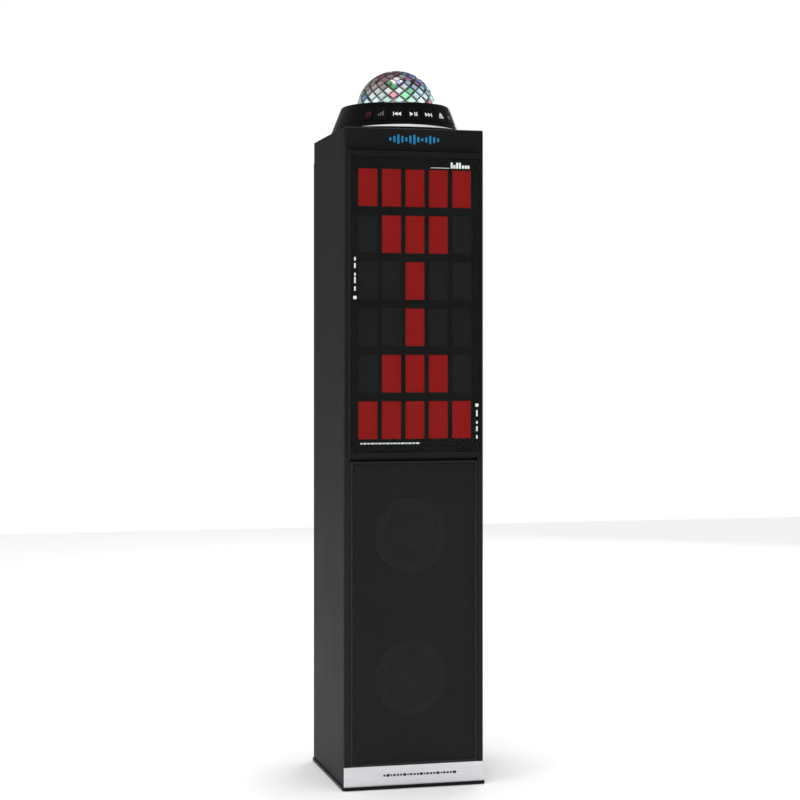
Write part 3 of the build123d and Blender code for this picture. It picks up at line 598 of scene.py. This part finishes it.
def add_bar(bm, x0, x1, y0, y1, z0, z1, round_off=0.0):
    """Bar between two corners, its edges along Y rounded off."""
    made = bmesh.ops.create_cube(bm, size=1.0)["verts"]
    bmesh.ops.scale(bm, vec=(x1 - x0, y1 - y0, z1 - z0), verts=made)
    bmesh.ops.translate(bm, vec=((x0 + x1) / 2, (y0 + y1) / 2, (z0 + z1) / 2), verts=made)
    if round_off > 0:
        touched = dict.fromkeys(edge for vert in made for edge in vert.link_edges)
        along_y = [e for e in touched if abs(e.verts[0].co.y - e.verts[1].co.y) > 1e-7]
        bevel(bm, along_y, round_off, 4)


# ---------------------------------------------------------------- cap mark and window print


def make_cap_mark():
    """Row of light-blue bars of different heights, set in the front of the cap."""
    low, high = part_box("top_cap")
    mid = (low.z + high.z) / 2
    front = low.y
    skin = sizes().print_height
    bm = bmesh.new()
    heights = [5.0, 9.0, 13.5, 9.5, 6.0, 11.0, 14.0, 8.0, 4.5, 7.5, 12.0, 9.0, 5.5]
    pitch = 5.8 * MM
    bar = 3.1 * MM
    ends = 0.42 * bar
    start = -pitch * (len(heights) - 1) / 2
    for number, height in enumerate(heights):
        x = start + number * pitch
        half = height * MM / 2
        add_bar(bm, x - bar / 2, x + bar / 2, front - skin, front + skin, mid - half, mid + half, ends)
    # The bars are given a little painted glow.
    finish = glowing("cap_mark_blue", colours().mark, PRINT_PAINTED_GLOW)
    return new_piece("cap_mark", bm, finish, "cabinet")


def make_panes():
    """Smoked panes, a hair thinner than the sheets they stand for, so that they clear the ledge behind."""
    for half in ("lower", "upper"):
        low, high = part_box(f"{half}_window")
        bm = bmesh.new()
        add_bar(bm, low.x, high.x, low.y, high.y - PANE_GAP, low.z, high.z, PANE_CORNER)
        pane = new_piece(f"{half}_pane", bm, MATERIALS["smoked_window"], "cabinet")
        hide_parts(f"{half}_window")


def add_dashes(bm, x, z, lengths, y0, y1):
    """Column of upright dashes, upwards from z, with the lengths in millimetres."""
    for number, length in enumerate(lengths):
        foot = z + number * DASH_STEP
        add_bar(bm, x - DASH_HALF, x + DASH_HALF, y0, y1, foot, foot + length * MM, DASH_ROUND)


def add_dot(bm, x, z, y0, y1):
    """Round dot that stands on z."""
    add_bar(bm, x - DOT_HALF, x + DOT_HALF, y0, y1, z, z + 2 * DOT_HALF, DOT_ROUND)


def make_window_print():
    """Plain white strips, dots and bars printed on the windows in place of lettering."""
    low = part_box("lower_window")[0]
    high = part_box("upper_window")[1]
    skin = sizes().print_height
    y0, y1 = low.y - skin, low.y + skin / 2
    bm = bmesh.new()
    # Top right: four bars, three small ones after them and a thin line before them
    right = high.x - 15.5 * MM
    top = high.z - 6.0 * MM
    foot = top - 8.5 * MM
    for number, height in enumerate((8.5, 5.0, 8.5, 8.5)):
        x = right - (28.0 - number * 4.0) * MM
        add_bar(bm, x, x + 3.0 * MM, y0, y1, foot, foot + height * MM, 0.6 * MM)
    for number in range(3):
        x = right - (11.6 - number * 4.0) * MM
        add_bar(bm, x, x + 3.2 * MM, y0, y1, foot, top - 3.6 * MM, 1.2 * MM)
    add_bar(bm, right - 57 * MM, right - 30 * MM, y0, y1, foot, top - 7.8 * MM)
    # Down the left and right edges: dashes and a dot
    margin = 5.0 * MM
    add_dashes(bm, low.x + margin, low.z + 226.0 * MM, (6.0, 9.0, 4.0, 7.0, 5.0), y0, y1)
    add_dot(bm, low.x + margin, low.z + 214.0 * MM, y0, y1)
    add_dashes(bm, high.x - margin, low.z + 18.0 * MM, (5.0, 7.0, 4.0, 9.0), y0, y1)
    add_dot(bm, high.x - margin, low.z + 63.0 * MM, y0, y1)
    # Bottom left: a row of short dashes
    x = low.x + 13.0 * MM
    foot = low.z + 11.5 * MM
    for number in range(16):
        length = (2.5, 4.5, 3.2, 5.0)[number % 4] * MM
        add_bar(bm, x, x + length, y0, y1, foot, foot + 2.0 * MM, 0.4 * MM)
        x += length + 1.6 * MM
    # The print is given a little painted glow.
    finish = glowing("white_print", colours().print_white, PRINT_PAINTED_GLOW)
    return new_piece("window_print", bm, finish, "cabinet")


def make_kick_print():
    """Row of plain dark dashes across the kick plate."""
    low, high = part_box("kick_plate")
    mid = (low.z + high.z) / 2 + 0.5 * MM
    skin = sizes().print_height / 2
    lengths = (3.2, 5.0, 2.2, 4.2, 3.6)
    gap = 1.2 * MM
    bm = bmesh.new()
    x = -45.0 * MM
    for number in range(22):
        kind = number % len(lengths)
        length = lengths[kind] * MM
        half = (1.8 if kind == 1 else 1.4) * MM
        add_bar(bm, x, x + length, low.y - skin, low.y + skin, mid - half, mid + half, 0.8 * MM)
        x += length + gap
    finish = grained("kick_print_black", (0.012, 0.012, 0.013), 0.5, grain=2500.0, bump=0.05)
    return new_piece("kick_print", bm, finish, "cabinet")


# ---------------------------------------------------------------- grille


def array(piece, offset, count):
    """Array modifier that repeats a piece count times by a fixed offset and welds the copies."""
    modifier = piece.modifiers.new("Array", "ARRAY")
    modifier.use_relative_offset = False
    modifier.use_constant_offset = True
    modifier.constant_offset_displace = offset
    modifier.count = count
    modifier.use_merge_vertices = True
    modifier.merge_threshold = 1e-5


def honeycomb(width, height, pitch, web):
    """Bmesh of a flat honeycomb of six-sided rings that covers width by height, centred on the origin."""
    bm = bmesh.new()
    bmesh.ops.create_circle(bm, cap_ends=True, segments=6, radius=pitch / math.sqrt(3))
    bmesh.ops.inset_individual(bm, faces=list(bm.faces), thickness=web / 2)
    hole = min(bm.faces, key=lambda f: abs(f.calc_center_median().length) + (len(f.verts) != 6))
    bmesh.ops.delete(bm, geom=[hole], context="FACES_ONLY")
    bmesh.ops.rotate(bm, verts=bm.verts, matrix=Matrix.Rotation(math.pi / 2, 3, "X"))
    mesh = bpy.data.meshes.new("honeycomb_cell")
    bm.to_mesh(mesh)
    bm.free()
    cell = bpy.data.objects.new("honeycomb_cell", mesh)
    bpy.context.scene.collection.objects.link(cell)
    row = pitch * math.sqrt(3) / 2
    columns = math.ceil(width / pitch) + 2
    pairs = math.ceil(height / (2 * row)) + 1
    array(cell, (pitch, 0, 0), columns)
    array(cell, (pitch / 2, 0, row), 2)
    array(cell, (0, 0, 2 * row), pairs)
    graph = bpy.context.evaluated_depsgraph_get()
    spread = bpy.data.meshes.new_from_object(cell.evaluated_get(graph))
    bm = bmesh.new()
    bm.from_mesh(spread)
    bpy.data.objects.remove(cell)
    bpy.data.meshes.remove(mesh)
    bpy.data.meshes.remove(spread)
    middle = Vector((-(columns - 0.5) * pitch / 2, 0, -(2 * pairs - 1) * row / 2))
    bmesh.ops.translate(bm, vec=middle, verts=bm.verts)
    return bm


def trim_to(bm, low, high):
    """Cut a flat mesh to a rectangle in X and Z."""
    for axis, value, side in ((0, low.x, -1), (0, high.x, 1), (2, low.z, -1), (2, high.z, 1)):
        normal = Vector((0, 0, 0))
        normal[axis] = side
        point = Vector((0, 0, 0))
        point[axis] = value
        geom = list(bm.verts) + list(bm.edges) + list(bm.faces)
        bmesh.ops.bisect_plane(bm, geom=geom, dist=1e-7, plane_co=point, plane_no=normal, clear_outer=True)


def make_grille_mesh(name, low, high, face):
    """One panel of punched sheet."""
    s = sizes()
    bm = honeycomb(high.x - low.x, high.z - low.z, s.hole_pitch, s.hole_web)
    centre = (low + high) / 2
    bmesh.ops.translate(bm, vec=(centre.x, 0, centre.z), verts=bm.verts)
    trim_to(bm, low, high)
    for vert in bm.verts:
        vert.co.y = 0
    bmesh.ops.recalc_face_normals(bm, faces=bm.faces)
    bmesh.ops.solidify(bm, geom=list(bm.faces), thickness=s.mesh_sheet)
    lowest = min(v.co.y for v in bm.verts)
    bmesh.ops.translate(bm, vec=(0, face - lowest, 0), verts=bm.verts)
    return new_piece(name, bm, MATERIALS["grille_metal"], "cabinet")


def make_grille_frame(low, high, border):
    """Plain border of the grille with its rim folded back."""
    bm = bmesh.new()
    add_bar(bm, low.x, high.x, low.y, high.y, low.z, high.z)
    front = min(bm.faces, key=lambda f: f.calc_center_median().y)
    rear = max(bm.faces, key=lambda f: f.calc_center_median().y)
    bmesh.ops.inset_region(bm, faces=[front], thickness=border)
    bmesh.ops.delete(bm, geom=[rear, front], context="FACES")
    outer = [e for e in bm.edges if len(e.link_faces) == 2 and e.calc_face_angle() > 0.5]
    bevel(bm, outer, 0.9 * MM, 3)
    bmesh.ops.recalc_face_normals(bm, faces=bm.faces)
    bmesh.ops.solidify(bm, geom=list(bm.faces), thickness=1.1 * MM)
    finish = MATERIALS["grille_metal"]
    return new_piece("grille_frame", bm, finish, "cabinet", math.radians(35))


def make_grille():
    """The grille: a folded frame and two panels of punched sheet."""
    low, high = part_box("speaker_grille")
    border = sizes().mesh_border
    rim = make_grille_frame(low, high, border)
    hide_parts("speaker_grille")
    middle = (low.z + high.z) / 2
    inset = Vector((border - 0.6 * MM, 0, border - 0.6 * MM))
    face = low.y + 0.2 * MM
    low_end = low + inset
    high_end = high - inset
    make_grille_mesh("grille_mesh_lower", low_end, Vector((high_end.x, 0, middle)), face)
    make_grille_mesh("grille_mesh_upper", Vector((low_end.x, 0, middle)), high_end, face)


# ---------------------------------------------------------------- pod and buttons


def button_place(name):
    """Matrix at the middle of a button's face: X along the pod, Y up its slope, Z outwards."""
    joint = next(j for j in frame["joints"] if j["child"] == name)
    out = -Vector(joint["axis"]).normalized()
    along = Vector((0, 0, 1)).cross(out).normalized()
    up = out.cross(along)
    corners = [v.co for v in frame["nodes"][name].data.vertices]
    top = max(c.dot(out) for c in corners)
    skin = [c for c in corners if c.dot(out) > top - 2.0 * MM]
    across = [c.dot(along) for c in skin]
    rise = [c.dot(up) for c in skin]
    x = (max(across) + min(across)) / 2
    y = (max(rise) + min(rise)) / 2
    turn = Matrix((along, up, out)).transposed().to_4x4()
    return Matrix.Translation(along * x + up * y + out * top) @ turn


def flat_polygon(bm, points, height):
    """Flat prism from outline points in millimetres, its top at height."""
    verts = [bm.verts.new((x * MM, y * MM, -height)) for x, y in points]
    face = bm.faces.new(verts)
    lifted = bmesh.ops.extrude_face_region(bm, geom=[face])["geom"]
    top = [item for item in lifted if isinstance(item, bmesh.types.BMVert)]
    bmesh.ops.translate(bm, vec=(0, 0, 2 * height), verts=top)


def icon_power(bm, h):
    """Open ring with a bar through its gap."""
    inner, outer = 2.1, 3.0
    steps = 10
    turn = math.radians(30)
    for step in range(steps):
        a0 = math.radians(120) + step * turn
        a1 = a0 + turn
        ring = ((inner, a0), (outer, a0), (outer, a1), (inner, a1))
        flat_polygon(bm, [(math.cos(a) * r, math.sin(a) * r) for r, a in ring], h)
    flat_polygon(bm, [(-0.45, 0.4), (0.45, 0.4), (0.45, 3.4), (-0.45, 3.4)], h)


def icon_triangle(bm, h, x, size, direction=1):
    """Triangle that points along X."""
    base = x - direction * size / 2
    tip = x + direction * size / 2
    flat_polygon(bm, [(base, -size * 0.6), (tip, 0), (base, size * 0.6)], h)


def icon_bar(bm, h, x, width, height, y=0.0):
    """Upright bar."""
    x0, x1 = x - width / 2, x + width / 2
    y0, y1 = y - height / 2, y + height / 2
    flat_polygon(bm, [(x0, y0), (x1, y0), (x1, y1), (x0, y1)], h)


def icon_for(number, bm, h):
    """One plain symbol for each button, from left to right, drawn in millimetres."""
    if number == 0:
        icon_power(bm, h)
    elif number == 1:
        for step in range(3):
            icon_bar(bm, h, -2.4 + 2.4 * step, 1.3, 2.4 + 1.3 * step, 0.65 * step - 0.6)
    elif number == 2:
        icon_bar(bm, h, -3.9, 0.9, 4.4)
        icon_triangle(bm, h, -1.5, 3.8, -1)
        icon_triangle(bm, h, 2.1, 3.8, -1)
    elif number == 3:
        icon_triangle(bm, h, -2.0, 4.0)
        icon_bar(bm, h, 1.6, 1.1, 4.4)
        icon_bar(bm, h, 3.6, 1.1, 4.4)
    elif number == 4:
        icon_triangle(bm, h, -2.1, 3.8)
        icon_triangle(bm, h, 1.5, 3.8)
        icon_bar(bm, h, 3.9, 0.9, 4.4)
    elif number == 5:
        flat_polygon(bm, [(-3.2, -0.4), (3.2, -0.4), (0, 4.0)], h)
        flat_polygon(bm, [(-3.2, -2.6), (3.2, -2.6), (3.2, -1.2), (-3.2, -1.2)], h)
    else:
        icon_bar(bm, h, 0, 1.2, 5.0)
        icon_bar(bm, h, 0, 5.0, 1.2)


def make_button_icons():
    """Backlit symbols on the buttons, each riding on its own button."""
    red = glowing("icon_red", (0.070, 0.004, 0.010), 0.4)
    grey = glowing("icon_grey", (0.10, 0.105, 0.105), 0.35)
    white = glowing("icon_white", (0.62, 0.63, 0.65), 0.35)
    # The grey is a dimmer copy of the white; on button_7, the end button, it stands for painted shade.
    finishes = [red, grey, white, white, white, white, grey]
    for number, name in enumerate(BUTTONS):
        bm = bmesh.new()
        icon_for(number, bm, sizes().print_height)
        bmesh.ops.scale(bm, vec=(ICON_SCALE, ICON_SCALE, 1.0), verts=bm.verts)
        shift = Matrix.Translation((ICON_SHIFTS.get(name, 0.0) * MM, -ICON_DROP * MM, 0))
        bmesh.ops.transform(bm, matrix=button_place(name) @ shift, verts=bm.verts)
        new_piece(f"{name}_icon", bm, finishes[number], name)


# ---------------------------------------------------------------- dome


def facet_places(radius, row):
    """Slope, turn and width of each facet: rows from the top down, each half a facet round from the last."""
    step = row / radius
    places = [(0.0, 0.0, 2.0 * row)]
    for number in range(1, round(math.radians(FACET_LOWEST) / step) + 1):
        slope = number * step
        count = next(count for least, count in FACET_BANDS if slope >= math.radians(least))
        width = 2 * math.pi * radius * math.sin(slope) / count
        for place in range(count):
            places.append((slope, 2 * math.pi * (place + 0.5 * (number % 2)) / count, width))
    return places


def facet_glow_and_painted_light(out, dice):
    """Colour that a facet throws: dusky red on the upper left, blue on the upper right, white low down. It is
    darker towards the top, and facets that face left or right get painted shade towards the dome's outline.
    """
    side = out.x / max(0.3, out.xy.length)
    low = 1.0 - out.z
    red = Vector((0.75, 0.07, 0.18))
    green = Vector((0.16, 0.85, 0.30))
    blue = Vector((0.06, 0.16, 0.80))
    white = Vector((0.80, 1.0, 1.0))
    tint = white.lerp(green, dice.uniform(0.0, 0.3))
    strength = min(1.0, 0.45 + abs(side)) * max(0.0, 1.0 - 1.25 * low)
    tint = tint.lerp(blue if side > 0.1 else red, strength)
    if dice.random() < 0.2:
        tint = tint.lerp(dice.choice((red, green, blue)), 0.7)
    # Painted shade: the last factor darkens facets that face left or right, towards the dome's outline. The factor
    # before it makes facets darker towards the top.
    return tint * dice.uniform(0.5, 1.0) * (0.12 + 1.3 * low) * (1.0 - 0.5 * abs(side) ** 3)


def dome_facet_material():
    """Cut facets that glow with the colour thrown on them from inside, with painted shade and painted glints mixed
    into that glow.
    """
    material, shader = new_material(
        "dome_facets",
        (0.02, 0.025, 0.03),
        0.12,
        sockets={"Specular IOR Level": 0.16, "Emission Strength": 1.25},
    )
    tree = material.node_tree
    tint = tree.nodes.new("ShaderNodeAttribute")
    tint.attribute_name = "facet_glow_and_painted_light"
    link(tree, tint.outputs["Color"], shader.inputs["Emission Color"])
    return material


def make_dome_facets(centre, radius):
    """Cut facets all over the dome: the top of each facet glows in full, and each side gets its own random share,
    a painted glint.
    """
    row = sizes().facet_row
    dice = random.Random(11)
    bm = bmesh.new()
    glow_and_painted_light_layer = bm.loops.layers.float_color.new("facet_glow_and_painted_light")
    for slope, turn, width in facet_places(radius, row):
        out = Vector((math.sin(slope) * math.cos(turn), math.sin(slope) * math.sin(turn), math.cos(slope)))
        along = Vector((-math.sin(turn), math.cos(turn), 0))
        pose = Matrix((along, out.cross(along), out)).transposed().to_4x4()
        made = bmesh.ops.create_cone(
            bm, cap_ends=True, segments=4, radius1=1.0, radius2=FACET_TABLE, depth=FACET_DEPTH
        )["verts"]
        bmesh.ops.scale(bm, vec=(width / 2 * FACET_FILL, row * FACET_FILL, 1.0), verts=made)
        place = Matrix.Translation(centre + out * (radius - FACET_DEPTH / 2 - FACET_SINK)) @ pose
        bmesh.ops.transform(bm, matrix=place, verts=made)
        tint = facet_glow_and_painted_light(out, dice)
        faces = list(dict.fromkeys(face for vert in made for face in vert.link_faces))
        table = max(faces, key=lambda face: face.calc_center_median().dot(out))
        for face in faces:
            # Painted glints: each side of a facet is dimmed by a random share, standing in for light refracted in
            # the cut glass.
            share = 1.0 if face == table else dice.uniform(0.08, 0.9)
            for loop in face.loops:
                loop[glow_and_painted_light_layer] = (*(tint * share), 1)
    return new_piece("dome_facets", bm, dome_facet_material(), "dome_rotor")


def make_dome_shell(centre, radius, bottom, wall):
    """Smoky hemisphere with its skirt, turned in one piece."""
    bm = bmesh.new()
    steps = 24
    shell = radius - sizes().facet_rise * SHELL_SHARE
    profile = [bm.verts.new((shell, 0, bottom))]
    for step in range(steps + 1):
        angle = math.pi / 2 * step / steps
        profile.append(bm.verts.new((shell * math.cos(angle), 0, centre.z + shell * math.sin(angle))))
    edges = [bm.edges.new(pair) for pair in zip(profile, profile[1:])]
    bmesh.ops.spin(
        bm,
        geom=profile + edges,
        cent=(0, 0, 0),
        axis=(0, 0, 1),
        angle=2 * math.pi,
        steps=96,
        use_merge=True,
    )
    bmesh.ops.remove_doubles(bm, verts=bm.verts, dist=1e-5)
    bmesh.ops.recalc_face_normals(bm, faces=bm.faces)
    bmesh.ops.solidify(bm, geom=list(bm.faces), thickness=wall)
    finish = grained(
        "dome_shell",
        (0.006, 0.007, 0.012),
        0.12,
        grain=260.0,
        bump=0.02,
        sockets={"Transmission Weight": 0.3, "IOR": 1.49, "Coat Weight": 0.4},
    )
    return new_piece("dome_shell", bm, finish, "dome_rotor", math.radians(60))


def make_dome():
    """Crystal dome: a turned shell covered in cut facets."""
    low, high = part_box("crystal_dome")
    radius = (high.x - low.x) / 2
    centre = Vector((0, 0, high.z - radius))
    shell = make_dome_shell(centre, radius, low.z, SHELL_WALL)
    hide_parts("crystal_dome")
    make_dome_facets(centre, radius)


# ---------------------------------------------------------------- rear plate print


def make_rear_print():
    """White ticks round the knobs, and a stroke under each socket."""
    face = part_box("rear_plate")[1].y
    skin = sizes().print_height
    bm = bmesh.new()
    for name in KNOBS:
        low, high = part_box(name)
        x, z = (low.x + high.x) / 2, (low.z + high.z) / 2
        reach = (high.x - low.x) / 2 + 2.0 * MM
        for tick in range(11):
            angle = math.radians(-60 + tick * 30)
            length = 3.0 * MM if tick % 5 == 0 else 1.8 * MM
            made = bmesh.ops.create_cube(bm, size=1.0)["verts"]
            bmesh.ops.scale(bm, vec=(length, skin, 0.7 * MM), verts=made)
            bmesh.ops.translate(bm, vec=(reach + length / 2, 0, 0), verts=made)
            bmesh.ops.rotate(bm, verts=made, matrix=Matrix.Rotation(angle, 3, "Y"))
            bmesh.ops.translate(bm, vec=(x, face, z), verts=made)
    low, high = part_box("jack_sockets")
    foot = (low.z + high.z) / 2 - 12.0 * MM
    for x, half in JACK_STROKES:
        add_bar(bm, (x - half) * MM, (x + half) * MM, face - skin, face + skin, foot, foot + 0.6 * MM)
    finish = glowing("rear_print_white", colours().print_white, 0.0)
    return new_piece("rear_print", bm, finish, "cabinet")


# ---------------------------------------------------------------- stage


def area_light(name, place, target, width, height, power):
    """Soft rectangular light aimed at a point."""
    data = bpy.data.lights.new(name, "AREA")
    data.shape = "RECTANGLE"
    data.size = width
    data.size_y = height
    data.energy = power
    light = bpy.data.objects.new(name, data)
    light.location = place
    light.rotation_euler = (Vector(target) - Vector(place)).to_track_quat("-Z", "Y").to_euler()
    bpy.context.scene.collection.objects.link(light)


def make_floor():
    """Large pale floor."""
    bm = bmesh.new()
    bmesh.ops.create_grid(bm, x_segments=1, y_segments=1, size=4.0)
    mesh = bpy.data.meshes.new("floor")
    bm.to_mesh(mesh)
    bm.free()
    floor = bpy.data.objects.new("floor", mesh)
    bpy.context.scene.collection.objects.link(floor)
    pale = bpy.context.scene.tower_stage.floor
    mesh.materials.append(grained("floor_paint", pale, 0.8, grain=40.0, bump=0.02, contrast=0.01))


def make_camera():
    """Camera at eye height, level, with the frame shifted to hold the whole tower."""
    stage = bpy.context.scene.tower_stage
    data = bpy.data.cameras.new("camera")
    data.lens = stage.focal
    data.sensor_width = 36.0
    data.shift_y = stage.rise
    camera = bpy.data.objects.new("camera", data)
    camera.location = stage.eye
    camera.rotation_euler = (math.pi / 2, 0, -stage.turn)
    bpy.context.scene.collection.objects.link(camera)
    bpy.context.scene.camera = camera


def make_world():
    """Pale room: weak light from all round, and a bright backdrop that only the camera sees."""
    stage = bpy.context.scene.tower_stage
    world = bpy.data.worlds.new("studio")
    world.use_nodes = True
    tree = world.node_tree
    room = tree.nodes["Background"]
    backdrop = tree.nodes.new("ShaderNodeBackground")
    for shade, strength in ((room, stage.room), (backdrop, stage.backdrop)):
        shade.inputs["Color"].default_value = (1, 1, 1, 1)
        shade.inputs["Strength"].default_value = strength
    rays = tree.nodes.new("ShaderNodeLightPath")
    choice = tree.nodes.new("ShaderNodeMixShader")
    link(tree, rays.outputs["Is Camera Ray"], choice.inputs[0])
    link(tree, room.outputs[0], choice.inputs[1])
    link(tree, backdrop.outputs[0], choice.inputs[2])
    link(tree, choice.outputs[0], tree.nodes["World Output"].inputs["Surface"])
    bpy.context.scene.world = world


def make_light():
    """Soft studio light: a broad light overhead, a key and a front light from the left, one behind."""
    overhead = bpy.data.lights.new("overhead", "SUN")
    overhead.energy = bpy.context.scene.tower_stage.overhead
    overhead.angle = math.radians(24)
    light = bpy.data.objects.new("overhead", overhead)
    bpy.context.scene.collection.objects.link(light)
    for settings in LIGHTS:
        area_light(*settings)
    make_world()
    bpy.context.scene.view_settings.view_transform = "Standard"


# ---------------------------------------------------------------- operators


class TOWER_OT_finishes(bpy.types.Operator):
    """Build the finishes and dress every CAD piece"""

    bl_idname = "tower.finishes"
    bl_label = "Dress the pieces"

    def execute(self, context):
        build_moulded_surface()
        build_brushed_surface()
        build_light_pattern()
        build_materials()
        dress_nodes()
        return {"FINISHED"}


class TOWER_OT_marks(bpy.types.Operator):
    """Add the mark on the cap, the smoked panes and the print on the panes and the rear plate"""

    bl_idname = "tower.marks"
    bl_label = "Add marks and print"

    def execute(self, context):
        make_cap_mark()
        make_panes()
        make_window_print()
        make_kick_print()
        make_rear_print()
        return {"FINISHED"}


class TOWER_OT_grille(bpy.types.Operator):
    """Build the punched speaker grille"""

    bl_idname = "tower.grille"
    bl_label = "Build the grille"

    def execute(self, context):
        make_grille()
        return {"FINISHED"}


class TOWER_OT_icons(bpy.types.Operator):
    """Add the symbols on the buttons"""

    bl_idname = "tower.icons"
    bl_label = "Add button symbols"

    def execute(self, context):
        make_button_icons()
        return {"FINISHED"}


class TOWER_OT_dome(bpy.types.Operator):
    """Build the crystal dome and its facets"""

    bl_idname = "tower.dome"
    bl_label = "Build the dome"

    def execute(self, context):
        make_dome()
        return {"FINISHED"}


class TOWER_OT_stage(bpy.types.Operator):
    """Set the floor, the light and the camera"""

    bl_idname = "tower.stage"
    bl_label = "Set the stage"

    def execute(self, context):
        make_floor()
        make_light()
        make_camera()
        return {"FINISHED"}


OPERATORS = (
    TOWER_OT_finishes,
    TOWER_OT_grille,
    TOWER_OT_marks,
    TOWER_OT_icons,
    TOWER_OT_dome,
    TOWER_OT_stage,
)


class TOWER_PT_panel(bpy.types.Panel):
    """Speaker tower tools"""

    bl_idname = "TOWER_PT_panel"
    bl_label = "Speaker tower"
    bl_space_type = "VIEW_3D"
    bl_region_type = "UI"
    bl_category = "Speaker tower"

    def draw(self, context):
        for operator in OPERATORS:
            self.layout.operator(operator.bl_idname)


GROUPS = {"tower_colours": TowerColours, "tower_sizes": TowerSizes, "tower_stage": TowerStage}


def register():
    """Register the settings, the operators and the panel."""
    for name, group in GROUPS.items():
        bpy.utils.register_class(group)
        setattr(bpy.types.Scene, name, bpy.props.PointerProperty(type=group))
    for cls in (*OPERATORS, TOWER_PT_panel):
        bpy.utils.register_class(cls)


def unregister():
    """Undo what register did."""
    for cls in (TOWER_PT_panel, *reversed(OPERATORS)):
        bpy.utils.unregister_class(cls)
    for name, group in GROUPS.items():
        delattr(bpy.types.Scene, name)
        bpy.utils.unregister_class(group)


def main():
    """Build everything."""
    register()
    for operator in OPERATORS:
        group, name = operator.bl_idname.split(".")
        getattr(getattr(bpy.ops, group), name)()
    bpy.context.view_layer.update()


if __name__ == "__main__":
    main()
